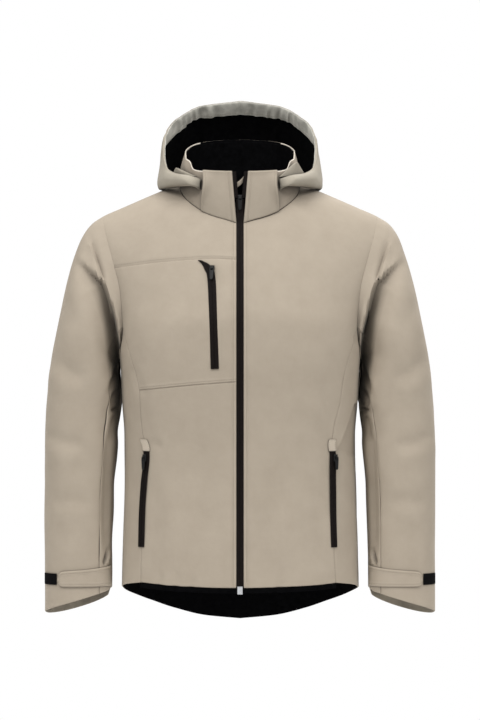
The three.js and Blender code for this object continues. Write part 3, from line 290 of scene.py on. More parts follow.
def fleeceMaterial(look):
    # brushed pile, almost without gloss
    material, nodes, links, shader = newMaterial(look["name"], {
        "Roughness": 0.95, "Specular IOR Level": 0.03, "Sheen Weight": 0.004, "Sheen Roughness": 0.6})
    place = objectPlace(nodes)
    mottledColour(nodes, links, place, shader, look, 120)
    pile = noiseOn(nodes, links, place, {"Scale": 700, "Detail": 4, "Roughness": 0.7})
    stackBumps(nodes, links, shader, [(pile["Fac"], 0.0006, 0.6)])
    return material


def tapeMaterial(look):
    # woven ribs in the cloth's own directions, for zip tape, coil and thread
    settings = {"Roughness": look["roughness"], "Specular IOR Level": 0.08}
    material, nodes, links, shader = newMaterial(look["name"], settings)
    uv = clothUv(nodes)
    mottledColour(nodes, links, uv, shader, look, 300)
    stackBumps(nodes, links, shader, [(weaveHeight(nodes, links, uv, look["ribMm"]), 0.00012, 0.5)])
    return material


def hookMaterial(look):
    # hook tape: a field of fine stiff loops
    material, nodes, links, shader = newMaterial(look["name"], {"Roughness": 0.85, "Specular IOR Level": 0.06})
    uv = clothUv(nodes)
    mottledColour(nodes, links, uv, shader, look, look["loopScale"])
    loops = noiseOn(nodes, links, uv, {"Scale": look["loopScale"]}, "ShaderNodeTexVoronoi")
    stackBumps(nodes, links, shader, [(loops["Distance"], 0.0005, 0.8)])
    return material


def hardMaterial(look):
    # a cast part's coat or metal: gloss worn unevenly over a fine grain
    settings = {"Metallic": look["metallic"], "Specular IOR Level": 0.25}
    material, nodes, links, shader = newMaterial(look["name"], settings)
    place = objectPlace(nodes)
    mottledColour(nodes, links, place, shader, look, 420)
    wear = noiseOn(nodes, links, place, {"Scale": 260, "Detail": 5})
    spreadRoughness(nodes, links, shader, wear["Fac"], look["roughness"])
    grain = noiseOn(nodes, links, place, {"Scale": 2600, "Detail": 2})
    stackBumps(nodes, links, shader, [(grain["Fac"], 0.00003, look["grain"])])
    return material


materials = {finish: shellMaterial({**usualCloth, **look}) for finish, look in clothLooks.items()}
materials["fleece"] = fleeceMaterial(fleeceLook)
materials.update((finish, tapeMaterial(look)) for finish, look in tapeLooks.items())
materials["hook"] = hookMaterial(hookLook)
materials.update((finish, hardMaterial(look)) for finish, look in hardLooks.items())
print("materials made")


# Meshes from grids

def addPiece(name, vertices, quads, uvs, look, finishes, sharpDegrees=38):
    # a mesh from arrays, with one UV pair a vertex in metres and one finish index a face
    mesh = bpy.data.meshes.new(name)
    mesh.vertices.add(len(vertices))
    mesh.vertices.foreach_set("co", (np.asarray(vertices, float) * metresPerMm).ravel())
    mesh.loops.add(quads.size)
    mesh.loops.foreach_set("vertex_index", quads.ravel())
    mesh.polygons.add(len(quads))
    mesh.polygons.foreach_set("loop_start", np.arange(0, quads.size, 4))
    for finish in finishes:
        mesh.materials.append(materials[finish])
    mesh.update(calc_edges=True)
    mesh.polygons.foreach_set("material_index", np.broadcast_to(look, len(quads)).astype(np.int32))
    mesh.polygons.foreach_set("use_smooth", np.ones(len(quads), bool))
    layer = mesh.uv_layers.new(name="clothUv")
    layer.data.foreach_set("uv", (np.asarray(uvs)[quads.ravel()] * metresPerMm).ravel())
    mesh.set_sharp_from_angle(angle=math.radians(sharpDegrees))
    mesh.update()
    piece = bpy.data.objects.new(name, mesh)
    scene.collection.objects.link(piece)
    return piece


def gridQuads(rows, columns):
    # corner numbers of the faces of a rows by columns grid of points
    r, c = np.meshgrid(np.arange(rows - 1), np.arange(columns - 1), indexing="ij")
    first = r * columns + c
    return np.stack([first, first + 1, first + columns + 1, first + columns], -1).reshape(-1, 4)


def gridNormals(points, away):
    # unit normals of a grid, turned to point away from the given inside points
    normals = np.cross(np.gradient(points, axis=1), np.gradient(points, axis=0))
    normals /= np.maximum(np.linalg.norm(normals, axis=-1, keepdims=True), 1e-9)
    side = np.sign(np.sum(normals * (points - np.asarray(away, float)), axis=-1).mean())
    return normals * side


def enclosedVolume(vertices, quads):
    # six times the volume inside the faces, above 0 where they point outwards
    a, b, c, d = (vertices[quads[:, k]] for k in range(4))
    return np.sum(np.cross(a, b) * c) + np.sum(np.cross(a, c) * d)


# distances in mm from an edge at which a grid has lines, by the kind of edge
fineStops = {
    "seam": [0.5, 1.1, 1.8, 2.6],
    "topstitched": [0.5, 1.1, 1.8, 2.6, 3.6, 4.4, 5.2, 6.2, 7.4],
    "zip": [0.4, 0.9, 1.6, 2.8, 4.2, 4.9, 5.6, 6.4, 7.2, 8.2],
    "free": [0.3, 0.8, 1.5, 2.4],
    "plain": [],
}


def edgeRelief(style, s):
    # how the cloth's face stands at the distance s in mm from an edge: a seam rolls in, topstitching swells
    # between the edge and a dip at its stitches, a zip's edge stands up with a dip too, a free edge is rounded
    if style == "seam":
        return -0.8 * clamp01(1 - s / 2.3) ** 2
    if style == "topstitched":
        swell, stitchDip = smooth(s / 2.4) * (1 - smooth((s - 5.6) / 2)), np.exp(-((s - 4.4) / 0.8) ** 2)
        return -0.7 * clamp01(1 - s / 1.8) ** 2 + 0.45 * swell - 0.35 * stitchDip
    if style == "zip":
        raised, stitchDip = 1 - smooth((s - 6) / 2), np.exp(-((s - 5) / 0.8) ** 2)
        return raised - 0.4 * stitchDip - 1.1 * clamp01(1 - s / 1.3) ** 2
    if style == "free":
        return -0.7 * clamp01(1 - s / 1.5) ** 2
    return np.zeros_like(s)


def stopsAlong(length, step, startStyle="plain", endStyle="plain"):
    # shares of a length for a grid's lines: fine beside each edge as its kind needs, even between. The length
    # may be rough, because it only sets how many lines there are and how near the first ones lie to an edge.
    start = np.array([0.0] + fineStops[startStyle])
    end = length - np.array([0.0] + fineStops[endStyle])[::-1]
    count = max(int(math.ceil((end[0] - start[-1]) / step)), 2)
    middle = np.linspace(start[-1], end[0], count + 1)[1:-1]
    return np.concatenate([start, middle, end]) / length


allFree = {"left": "free", "right": "free", "bottom": "free", "top": "free"}


def clothShell(name, points, edges, away, thickness=1.8, relief=0.0, facing=None, outerHighlight=None, darkEdges=(),
               finishes=("shell", "fleece"), weights=None):
    # a wall of cloth: the outer face is the grid moved out by relief and by each edge's own form, the inner face
    # is a thickness inside, and strips close the four edges. finishes are the outer and the inner face's, and the
    # last one is for the inner faces marked by facing and the outer faces marked by outerHighlight, a painted
    # highlight.
    rows, columns = points.shape[:2]
    normals = gridNormals(points, away)
    across, up = lengthsAlong(points, 1), lengthsAlong(points, 0)
    distances = {"left": across, "right": across[:, -1:] - across, "bottom": up, "top": up[-1:] - up}
    weights = weights or {}
    dips = sum(edgeRelief(style, distances[edge]) * weights.get(edge, 1) for edge, style in edges.items())
    relief = np.broadcast_to(relief, (rows, columns))
    outer = points + normals * (relief + dips)[..., None]
    tuck = sum(0.5 * clamp01(1 - distances[edge] / 1.2) ** 2 for edge, style in edges.items() if style == "free")
    inner = points + normals * (relief - thickness + tuck)[..., None]
    count = rows * columns
    face = gridQuads(rows, columns)
    number = np.arange(count).reshape(rows, columns)
    outerLook, innerLook = np.zeros(len(face), int), np.ones(len(face), int)
    for marked, look in ((outerHighlight, outerLook), (facing, innerLook)):
        if marked is not None:
            look[marked(distances)[:-1, :-1].ravel()] = len(finishes) - 1
    strips, stripLook = [], []
    for edge, line in (("bottom", number[0]), ("top", number[-1][::-1]), ("left", number[::-1, 0]),
                       ("right", number[:, -1])):
        strips.append(np.stack([line[:-1], line[:-1] + count, line[1:] + count, line[1:]], -1))
        stripLook.append(np.full(len(line) - 1, int(edge in darkEdges)))
    quads = np.concatenate([face, face[:, ::-1] + count, *strips])
    vertices = np.concatenate([outer.reshape(-1, 3), inner.reshape(-1, 3)])
    if enclosedVolume(vertices, quads) < 0:
        quads = quads[:, ::-1]
    uvs = np.tile(np.stack([across, up], -1).reshape(-1, 2), (2, 1))
    piece = addPiece(name, vertices, quads, uvs, np.concatenate([outerLook, innerLook, *stripLook]), finishes)
    return {"piece": piece, "outer": outer, "normals": normals, "distances": distances}


def dress(piece, nodes):
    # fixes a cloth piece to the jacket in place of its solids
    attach(piece, body)
    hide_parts(*nodes)


def patchGrid(us, vs, left, right, bottom, top):
    # Coons patch: the blend of the four boundary lines less the blend of their corners, as (v, u, 2)
    u, v = us[None, :, None], vs[:, None, None]
    corners = [side(end)[0] for end in (np.zeros(1), np.ones(1)) for side in (left, right)]
    cornerMix = mix(mix(corners[0], corners[1], u), mix(corners[2], corners[3], u), v)
    return mix(left(vs)[:, None], right(vs)[:, None], u) + mix(bottom(us)[None], top(us)[None], v) - cornerMix


def asPoints(x, z):  # a line of (x, z) pairs
    return np.stack(np.broadcast_arrays(x, z), -1).astype(float)


# Torso

torso = {
    # z, half width, front depth, back depth, squareness of the ring
    "rings": [(-790, 206, 139, 137, 2.6), (-691, 204, 138, 135, 2.6), (-600, 201, 136, 131, 2.6),
              (-500, 198, 134, 127, 2.6), (-440, 197.5, 135, 126, 2.6), (-380, 202, 138, 129, 2.7),
              (-310, 206, 142, 134, 2.7), (-256, 212, 142, 138, 2.5), (-206, 229, 137, 137, 2.2),
              (-151, 255, 131, 134, 2.05), (-100, 285, 126, 130, 2), (-60, 305, 124, 128, 2),
              (60, 350, 121, 125, 2)],
    "crest": [(0, 25), (60, 12), (104, -6), (155, -27.5), (202, -48), (236, -63), (262, -80), (360, -160)],
    "archFront": (260, 1.8), "archBack": (240, 2), "crestY": 8,
    # x, top z, bottom z, width, depth, drift of the long soft folds
    "folds": [(118, -420, -720, 26, 2.6, 14), (62, -520, -720, 22, 1.8, -10), (-96, -450, -720, 28, 2.4, -16),
              (-52, -560, -720, 20, 1.6, 8), (178, -330, -640, 20, 2.2, -12), (-180, -330, -640, 20, 2.2, 12)],
    "frontPrincess": [(-691, 162), (-628, 160.6), (-550, 160), (-464, 159.5), (-413, 166), (-352, 173),
                      (-320, 180), (-284, 191), (-256, 199)],
    "backPrincess": [(-730, 163), (-628, 161), (-500, 160), (-413, 168), (-352, 177), (-300, 189), (-256, 200)],
    "frontArmhole": [(-256, 199), (-206, 202.5), (-182, 206), (-151, 214), (-122, 222), (-100, 228.5),
                     (-76, 234), (-63, 236)],
    "backArmhole": [(-256, 200), (-206, 207), (-182, 211.5), (-151, 219), (-122, 226), (-100, 231),
                    (-76, 235), (-63, 236)],
    "frontNeck": [(0, -80.5), (20, -74), (40, -68), (60, -60), (82, -45.5), (97, -30), (102.6, -18), (104, -6)],
    "backNeck": [(0, 0), (50, -5), (80, -6.8), (98, -6.6), (104, -6)],
    "yokeSeam": [(0, -142), (43, -139.5), (72, -140.3), (146, -145.4), (216, -154)],
    "waistSeam": [(0, -346.5), (73, -352), (175, -362)],
    "tail": [(0, -767), (59, -761.5), (118, -746.5), (163, -729)],
    "centreEdge": 6.1, "hemZ": -691, "hemRise": 6, "princessTop": -256, "underarm": -310,
    "shoulder": (236, -63), "neck": (104, -6), "step": 3.4, "waveReach": 3.4, "armholeWeight": 0.25,
    "shoulderBendZ": -150, "shoulderRows": 48,
    # how much further out the front seam and pocket lie than the pattern, by height, right (-1) and left (1)
    "seamShift": {-1: [(-691, 6), (-580, 5), (-520, 2), (-472, -2.5), (-458, -2), (-440, 1.5), (-365, -1.5),
                       (-340, 0)],
                  1: [(-691, 0), (-622, -2.5), (-560, -3.5), (-472, -3.5), (-450, -6), (-420, -6), (-380, 0)]},
    # how far its relief takes to rise beside the side line (degrees), zip, armhole and shoulder seam
    "sideRest": 18, "zipRest": 26, "armholeRest": 22, "crestRest": 40,
    # rough width of each panel's grid, and a point inside the jacket that its face points away from
    "frontSpan": 165, "sideSpan": 250, "sideHeight": 400, "backSpan": 350,
    "insideFront": (0, 60, -400), "insideSide": (0, 0, -450), "insideBack": (0, -60, -400),
}
centreEdge = torso["centreEdge"]
halfWidthAt, frontDepthAt, backDepthAt, fullnessAt = (
    tableCurve([(row[0], row[k]) for row in torso["rings"]]) for k in (1, 2, 3, 4))
crestAt, tailAt = tableCurve(torso["crest"]), tableCurve(torso["tail"])
frontPrincessAt, backPrincessAt = tableCurve(torso["frontPrincess"]), tableCurve(torso["backPrincess"])
frontArmholeAt, backArmholeAt = tableCurve(torso["frontArmhole"]), tableCurve(torso["backArmhole"])
frontNeckAt, backNeckAt = tableCurve(torso["frontNeck"]), tableCurve(torso["backNeck"])
yokeAt, waistAt = tableCurve(torso["yokeSeam"]), tableCurve(torso["waistSeam"])
seamShiftAt = {side: tableCurve(rows) for side, rows in torso["seamShift"].items()}
frontHemX, backHemX = torso["frontPrincess"][0][1], torso["tail"][-1][0]


def hemAt(x):  # rises with the square of x, from the zip to the front seam
    return torso["hemZ"] + torso["hemRise"] * (x / frontHemX) ** 2


def frontSeamAt(z, side):  # x of the seam between front and side panel
    return frontPrincessAt(z) + seamShiftAt[side](z)


def torsoFoldAt(x, z):
    # long soft folds: each a bell across x that drifts sideways and deepens on its way down
    total = 0
    for foldX, topZ, bottomZ, width, depth, drift in torso["folds"]:
        along = clamp01((topZ - z) / (topZ - bottomZ))
        total = total + depth * smooth(along * 1.6) * np.exp(-((x - foldX - drift * along) / width) ** 2)
    return total


def torsoDepth(x, z, turnedBack, roundness):
    # y of the torso's face: the ring's depth, less its roundness and the arch under the shoulder ridge
    side = np.where(turnedBack, 1, -1)
    depth = np.where(turnedBack, backDepthAt(z), frontDepthAt(z))
    (frontReach, frontPower), (backReach, backPower) = torso["archFront"], torso["archBack"]
    drop = clamp01((crestAt(np.abs(x)) - z) / np.where(turnedBack, backReach, frontReach))
    power = np.where(turnedBack, backPower, frontPower)
    rise = (1 - (1 - drop) ** power) ** (1 / power)
    fold = torsoFoldAt(x, z) * smooth(roundness * 1.6)
    return torso["crestY"] * smooth((z + 300) / 300) + side * (depth * rise * roundness + fold)


def torsoFace(x, z, turnedBack):
    # the front or back face over x and z: depth times (1 - |x / half width| ^ squareness) ^ (1 / squareness)
    power = fullnessAt(z)
    share = np.minimum(np.abs(x) / halfWidthAt(z), 1)
    y = torsoDepth(x, z, turnedBack, (1 - share ** power) ** (1 / power))
    return np.stack([x, y, z], -1)


def torsoRing(turn, z, side):
    # the same face by turn in degrees round one side, a superellipse: -90 is the middle of the front, 0 the side
    power = fullnessAt(z)
    angle = np.radians(turn)
    x = side * halfWidthAt(z) * np.abs(np.cos(angle)) ** (2 / power)
    y = torsoDepth(x, z, turn >= 0, np.abs(np.sin(angle)) ** (2 / power))
    return np.stack([x, y, z], -1)


def turnAt(x, z):  # how far round from the side a point of the ring is, 0 to 90
    return np.degrees(np.arccos(clamp01(x / halfWidthAt(z)) ** (fullnessAt(z) / 2)))


# creases seen from the front, as lines of x and z: by the armholes, above the pockets and over the hem
frontCreases = {
    -1: [
        {"path": [(-199, -228), (-197, -255), (-199, -284)], "width": 4, "depth": 1.6, "lip": 0.7},
        {"path": [(-183, -318), (-170, -352), (-160, -372)], "width": 8, "depth": 1.9, "lip": 1.0},
        {"path": [(-152, -440), (-141, -452), (-128, -458)], "width": 8, "depth": 1.2, "lip": 0.6},
        {"path": [(-137, -662), (-134, -676), (-136, -688)], "width": 5, "depth": 1.1, "lip": 0.5, "fade": (0.5, 0)},
        {"path": [(-112, -655), (-106, -672), (-108, -690)], "width": 6, "depth": 1.2, "lip": 0.4, "fade": (0.5, 0)},
        {"path": [(-84, -668), (-80, -680), (-82, -691)], "width": 5, "depth": 0.9, "lip": 0.3, "fade": (0.5, 0)},
        {"path": [(-60, -430), (-66, -520), (-54, -610)], "width": 24, "depth": 1.5, "lip": 0.8},
        {"path": [(-150, -500), (-140, -560), (-146, -640)], "width": 13, "depth": 1.4, "lip": 0.6},
    ],
    1: [
        {"path": [(196, -246), (194, -264), (201, -290)], "width": 4.5, "depth": 3.2, "lip": -1.2},
        {"path": [(203, -176), (203.5, -186), (203, -197)], "width": 3, "depth": 0.9, "lip": 0.3},
        {"path": [(139, -340), (146, -385), (158, -428)], "width": 6, "depth": 1.4, "lip": 0.6},
        {"path": [(44, -550), (40, -620), (52, -680)], "width": 17, "depth": 1.7, "lip": 0.9},
        {"path": [(118, -560), (132, -620), (146, -672)], "width": 16, "depth": 1.5, "lip": 0.8},
        {"path": [(150, -470), (140, -520), (132, -560)], "width": 15, "depth": 1.1, "lip": 0.6},
        {"path": [(60, -672), (66, -682), (64, -691)], "width": 6, "depth": 0.8, "lip": 0.3, "fade": (0.5, 0)},
        {"path": [(140, -664), (146, -676), (143, -688)], "width": 5, "depth": 0.8, "lip": 0.3, "fade": (0.5, 0)},
    ],
}
backCreases = [
    {"path": [(-186, -180), (-120, -214), (-40, -226)], "width": 12, "depth": 3.2, "lip": 1.6},
    {"path": [(188, -196), (130, -236), (60, -250)], "width": 13, "depth": 3.4, "lip": 1.7},
    {"path": [(-150, -420), (-110, -452), (-50, -462)], "width": 12, "depth": 2.9, "lip": 1.5},
    {"path": [(152, -436), (104, -474), (36, -488)], "width": 13, "depth": 3.0, "lip": 1.5},
    {"path": [(-96, -560), (-88, -640), (-100, -730)], "width": 18, "depth": 2.9, "lip": 1.5},
    {"path": [(70, -580), (80, -660), (68, -740)], "width": 18, "depth": 2.7, "lip": 1.4},
    {"path": [(-30, -90), (-18, -160), (-26, -230)], "width": 20, "depth": 1.2, "lip": 0.5},
    {"path": [(112, -250), (100, -300), (108, -350)], "width": 15, "depth": 1.4, "lip": 0.6},
]

armholeTurn = {  # how far round the armhole's lowest points are
    "front": float(turnAt(frontArmholeAt(torso["princessTop"]), torso["princessTop"])),
    "back": float(turnAt(backArmholeAt(torso["princessTop"]), torso["princessTop"])),
}


def underarmAt(turn):  # height of the armhole under the arm, rising to the seams with the square of the turn
    limit = np.where(turn < 0, armholeTurn["front"], armholeTurn["back"])
    return mix(torso["underarm"], torso["princessTop"], clamp01(np.abs(turn) / limit) ** 2)


# the side panel: on the wearer's left a fold swings from the side to the pocket and the cloth behind it is set back
sideCreases = {
    1: [{"path": [(197, -382), (193, -392), (186, -414), (172, -450), (164, -466), (162, -500), (162, -540)],
         "width": 5, "depth": -0.9, "setBack": 7.5, "reach": 80, "fade": (0.1, 0.5)},
        {"path": [(186, -300), (190, -330), (194, -360)], "width": 6, "depth": 1.6, "lip": 0.6},
        {"path": [(180, -560), (184, -610), (180, -660)], "width": 9, "depth": 1.2, "lip": 0.5}],
    -1: [{"path": [(-194, -330), (-188, -370), (-184, -410)], "width": 7, "depth": 1.6, "lip": 0.7},
         {"path": [(-186, -470), (-178, -520), (-182, -575)], "width": 9, "depth": 1.5, "lip": 0.6},
         {"path": [(-176, -600), (-180, -640), (-176, -684)], "width": 8, "depth": 1.0, "lip": 0.5}],
}


def torsoRelief(x, z, turn):
    # creases and waves as one field over front, side and back, so that panels meet: it rests at the zip, at the
    # side line, along the armhole and under the shoulder seam. turn is the ring's turn, below 0 in front.
    side = np.where(x < 0, -1, 1)
    front = turn < 0
    around = side * (90 - np.abs(turn)) * torso["waveReach"]
    waves = np.where(front, softWaves(around, z, 11, 95, 0.9), softWaves(around, z, 31, 110, 1.1))
    creases = np.where(side > 0, creaseField(x, z, frontCreases[1] + sideCreases[1]),
                       creaseField(x, z, frontCreases[-1] + sideCreases[-1]))
    creases = np.where(front, creases, creaseField(x, z, backCreases))
    sideRest = smooth(np.abs(turn) / torso["sideRest"])
    zipRest = np.where(front, smooth(np.abs(x) / torso["zipRest"]), 1)
    inward = np.where(front, frontArmholeAt(z), backArmholeAt(z)) - np.abs(x)
    limit = np.where(front, armholeTurn["front"], armholeTurn["back"])
    cornerAway = np.hypot(z - torso["princessTop"], inward)
    under = np.where(np.abs(turn) < limit, underarmAt(turn) - z, cornerAway)
    armRest = smooth(np.where(z > torso["princessTop"], inward, under) / torso["armholeRest"])
    crestRest = smooth((crestAt(np.abs(x)) - z) / torso["crestRest"])
    return (waves + creases * sideRest) * zipRest * armRest * crestRest


def topEdge(startX, neckAt):
    # from the middle along the neckline for the first half, then out along the shoulder seam
    (neckX, _), (shoulderX, _) = torso["neck"], torso["shoulder"]

    def at(us):
        neckXs = mix(startX, neckX, np.sin(np.minimum(us, 0.5) * math.pi))
        shoulderXs = mix(neckX, shoulderX, clamp01(2 * us - 1))
        x = np.where(us < 0.5, neckXs, shoulderXs)
        return asPoints(x, np.where(us < 0.5, neckAt(neckXs), crestAt(shoulderXs)))

    return at


def risingShares(lowZ, highZ, startStyle, endStyle="plain"):
    # shares of a panel's height, closer together under the shoulder, where the cloth turns over quickly
    bendZ, lower = torso["shoulderBendZ"], np.array([0.0])
    if highZ < bendZ:
        return stopsAlong(highZ - lowZ, torso["step"], startStyle, endStyle)
    if lowZ > bendZ - 30:
        bendZ = lowZ
    else:
        lower = stopsAlong(bendZ - lowZ, torso["step"], startStyle) * (bendZ - lowZ)
    shares = np.arange(1, torso["shoulderRows"] + 1) / torso["shoulderRows"]
    upper = bendZ - lowZ + (highZ - bendZ) * (1 - (1 - shares) ** 2)
    return np.concatenate([lower, upper]) / (highZ - lowZ)


panels = {}  # every cloth piece that is stitched, by its short name


def frontPanel(name, side, low, high, bottomStyle):
    # the torso's face between zip and front seam. low and high are (line over x, z at the outer corner), and
    # high without a line runs up to the neckline and shoulder.
    (lowAt, lowZ), (highAt, highZ) = low, high

    def outerX(z):
        return np.where(z < torso["princessTop"], frontSeamAt(z, side), frontArmholeAt(z))

    def seamLine(lineAt, cornerZ):
        def at(us):
            x = mix(centreEdge, outerX(cornerZ), us)
            return asPoints(x, np.where(us >= 1, cornerZ, lineAt(x)))
        return at

    bottom = seamLine(lowAt, lowZ)
    top = seamLine(highAt, highZ) if highAt else topEdge(centreEdge, frontNeckAt)
    startZ, endZ = bottom(np.zeros(1))[0, 1], top(np.zeros(1))[0, 1]

    def left(vs):
        return asPoints(centreEdge, mix(startZ, endZ, vs))

    def right(vs):
        z = mix(lowZ, highZ, vs)
        return asPoints(outerX(z), z)

    edges = {"left": "zip", "right": "seam", "bottom": bottomStyle, "top": "seam"}
    us = stopsAlong(torso["frontSpan"], torso["step"], "zip", "seam")
    vs = risingShares(lowZ, highZ, bottomStyle, "seam")
    grid = patchGrid(us, vs, left, right, bottom, top)
    x, z = side * grid[..., 0], grid[..., 1]
    armhole = mix(1, torso["armholeWeight"], smooth((z - torso["princessTop"] + 20) / 30))
    return clothShell(name, torsoFace(x, z, False), edges, torso["insideFront"], weights={"right": armhole},
                      relief=torsoRelief(x, z, -turnAt(np.abs(x), z)))


def seamEnd(seamAt, side):
    # z where a cross seam meets the panel's outer edge, by stepping between the two lines
    z = float(seamAt(160))
    for _ in range(12):
        outer = frontSeamAt(z, side) if z < torso["princessTop"] else frontArmholeAt(z)
        z = float(seamAt(outer))
    return z


shoulderZ = torso["shoulder"][1]
leftHem, rightHem = (hemAt, float(hemAt(frontHemX))), (hemAt, float(hemAt(frontSeamAt(torso["hemZ"], -1))))
waist, yoke = (waistAt, seamEnd(waistAt, -1)), (yokeAt, seamEnd(yokeAt, -1))
for node, side, low, high, bottomStyle, flat, area in (
        ("front_left", 1, leftHem, (None, shoulderZ), "free", (0.25, 0.70), 0.126),
        ("front_right_lower", -1, rightHem, waist, "free", (0.19, 0.35), 0.056),
        ("front_right_chest", -1, waist, yoke, "topstitched", (0.22, 0.22), 0.043),
        ("front_right_yoke", -1, yoke, (None, shoulderZ), "topstitched", (0.25, 0.17), 0.028)):
    panels[node] = frontPanel(f"cloth_{node}", side, low, high, bottomStyle)
    dress(panels[node]["piece"], [node])


def sidePanel(side):
    # the torso's ring between the two princess seams, from the hem up to the arch under the arm
    hemFront, hemBack, topZ = float(hemAt(frontHemX)), float(tailAt(backHemX)), torso["princessTop"]

    def left(vs):
        z = mix(hemFront, topZ, vs)
        return asPoints(-turnAt(frontSeamAt(z, side), z), z)

    def right(vs):
        z = mix(hemBack, topZ, vs)
        return asPoints(turnAt(backPrincessAt(z), z), z)

    def bottom(us):
        (t0, z0), (t1, z1) = left(np.zeros(1))[0], right(np.zeros(1))[0]
        return asPoints(mix(t0, t1, us), mix(z0, z1, us * (0.4 + 0.6 * us)))

    def top(us):
        turn = mix(left(np.ones(1))[0, 0], right(np.ones(1))[0, 0], us)
        return asPoints(turn, underarmAt(turn))

    us = stopsAlong(torso["sideSpan"], torso["step"], "seam", "seam")
    vs = stopsAlong(torso["sideHeight"], torso["step"], "free", "seam")
    grid = patchGrid(us, vs, left, right, bottom, top)
    points = torsoRing(grid[..., 0], grid[..., 1], side)
    node = f"side_{sideWords[side]}"
    panel = clothShell(f"cloth_{node}", points, {"left": "seam", "right": "seam", "bottom": "free", "top": "seam"},
                       torso["insideSide"], relief=torsoRelief(points[..., 0], points[..., 2], grid[..., 0]))
    dress(panel["piece"], [node])


def backPanel():
    # the torso's back face between the two back seams and armholes, from the dropped tail to the neck
    lowZ, highZ = float(tailAt(backHemX)), shoulderZ

    def outerX(z):
        return np.where(z < torso["princessTop"], backPrincessAt(z), backArmholeAt(z))

    def edge(side):
        def at(vs):
            z = mix(lowZ, highZ, vs)
            return asPoints(side * outerX(z), z)
        return at

    def bottom(us):
        share = mix(-1, 1, us)
        x = share * outerX(lowZ)
        return asPoints(x, np.where(np.abs(share) >= 1, lowZ, tailAt(np.abs(x))))

    half = topEdge(0, backNeckAt)

    def top(us):
        line = half(np.abs(2 * us - 1))
        line[:, 0] *= np.sign(2 * us - 1)
        return line

    us = stopsAlong(torso["backSpan"], torso["step"] + 0.2, "seam", "seam")
    grid = patchGrid(us, risingShares(lowZ, highZ, "free"), edge(-1), edge(1), bottom, top)
    x, z = grid[..., 0], grid[..., 1]
    panel = clothShell("cloth_back", torsoFace(x, z, True),
                       {"left": "seam", "right": "seam", "bottom": "free", "top": "seam"}, torso["insideBack"],
                       relief=torsoRelief(x, z, turnAt(np.abs(x), z)), darkEdges=("bottom",))
    dress(panel["piece"], ["back"])


hemBand = {"span": 155, "height": 9, "gap": 0.3, "step": (3.4, 1.6), "thickness": 1.3, "setBack": 0.8,
           "ripple": 0.25, "rippleLength": 3.1, "inside": (0, 60, -690)}


def makeHemBand(side):
    # the torso's face carried down below the hem's line, set back and slightly rippled along x
    us = stopsAlong(hemBand["span"], hemBand["step"][0], "free", "free")
    vs = stopsAlong(hemBand["height"], hemBand["step"][1], "free", "plain")
    x = mix(centreEdge, frontSeamAt(torso["hemZ"], side), us)[None, :]
    z = hemAt(x) - hemBand["gap"] - hemBand["height"] * (1 - vs[:, None])
    x, z = np.broadcast_arrays(side * x, z)
    ripple = np.sin(x / hemBand["rippleLength"]) * np.exp(-((z - torso["hemZ"] + 3) / 6) ** 2)
    node = f"hem_band_{sideWords[side]}"
    panel = clothShell(f"cloth_{node}", torsoFace(x, z, False), {"bottom": "free"}, hemBand["inside"],
                       thickness=hemBand["thickness"], relief=-hemBand["setBack"] + hemBand["ripple"] * ripple,
                       finishes=("fleece", "fleece"))
    dress(panel["piece"], [node])


sidePanel(1)
sidePanel(-1)
backPanel()
makeHemBand(1)
makeHemBand(-1)
print("torso made")


# Sleeves

sleeve = {
    # inner x z, outer x z, front and back depth, y of the middle, share turned from armhole into tube
    "stations": [
        (207, -310, 236, -63, 66, 66, 8, 0), (208.6, -315, 255, -76, 67, 67, 7, 0.12),
        (210, -320, 271.5, -98, 69, 68, 6, 0.3), (210.6, -326, 283.5, -128, 71, 69, 5, 0.5),
        (210.8, -332, 293.5, -160, 72, 70, 4, 0.7), (210.6, -339, 302, -196, 72, 70, 3, 0.88),
        (210, -348, 309.5, -233, 71, 70, 2, 1), (209, -358, 316.5, -272, 70, 69, 1, 1),
        (208.3, -371, 323.5, -313, 69, 68, 0, 1), (208, -388, 329.5, -356, 68, 67, 0, 1),
        (209, -412, 334, -402, 66, 66, -1, 1), (212.5, -452, 335, -452, 64, 65, -3, 1),
        (215.5, -510, 335.3, -510, 61, 62, -7, 1), (217.6, -580, 335, -580, 55, 56, -13, 1),
        (219, -650, 334, -650, 48, 49, -20, 1)],
    "squareness": 2.3,
    "cuff": {"innerZ": -699, "outerZ": -734, "backDrop": 18, "outerX": 331, "innerX": 220},
    # x, z and depth of the deep fold below the cap
    "fold": [(277, -137, 3), (258, -154, 8), (242, -169, 12), (231, -181, 16), (222, -204, 24), (214, -230, 33),
             (208, -256, 40), (205, -285, 45), (204, -320, 46), (203, -350, 42), (203, -380, 31), (204, -410, 15),
             (206, -440, 5), (206, -470, 0)],
    # how far the body side of the sleeve leans on the torso, by height
    "lean": [(-300, 0), (-326, 3.5), (-363, 5.5), (-405, 3), (-430, 1), (-456, 3), (-520, 0)],
    "foldWidth": 21, "foldLip": 3.2, "foldOpening": (2, 7), "lipDepth": 12, "lipWidth": 16,
    "step": 3.5, "facing": 24, "armholePoints": 160, "upperSpan": 290, "underSpan": 130, "cuffMiddleDrop": 40,
    "seamGap": 0.3,
}
stationCurves = [tableCurve([(i, row[k]) for i, row in enumerate(sleeve["stations"])]) for k in range(8)]
lastStation = len(sleeve["stations"]) - 1
leanAt = tableCurve(sleeve["lean"][::-1])


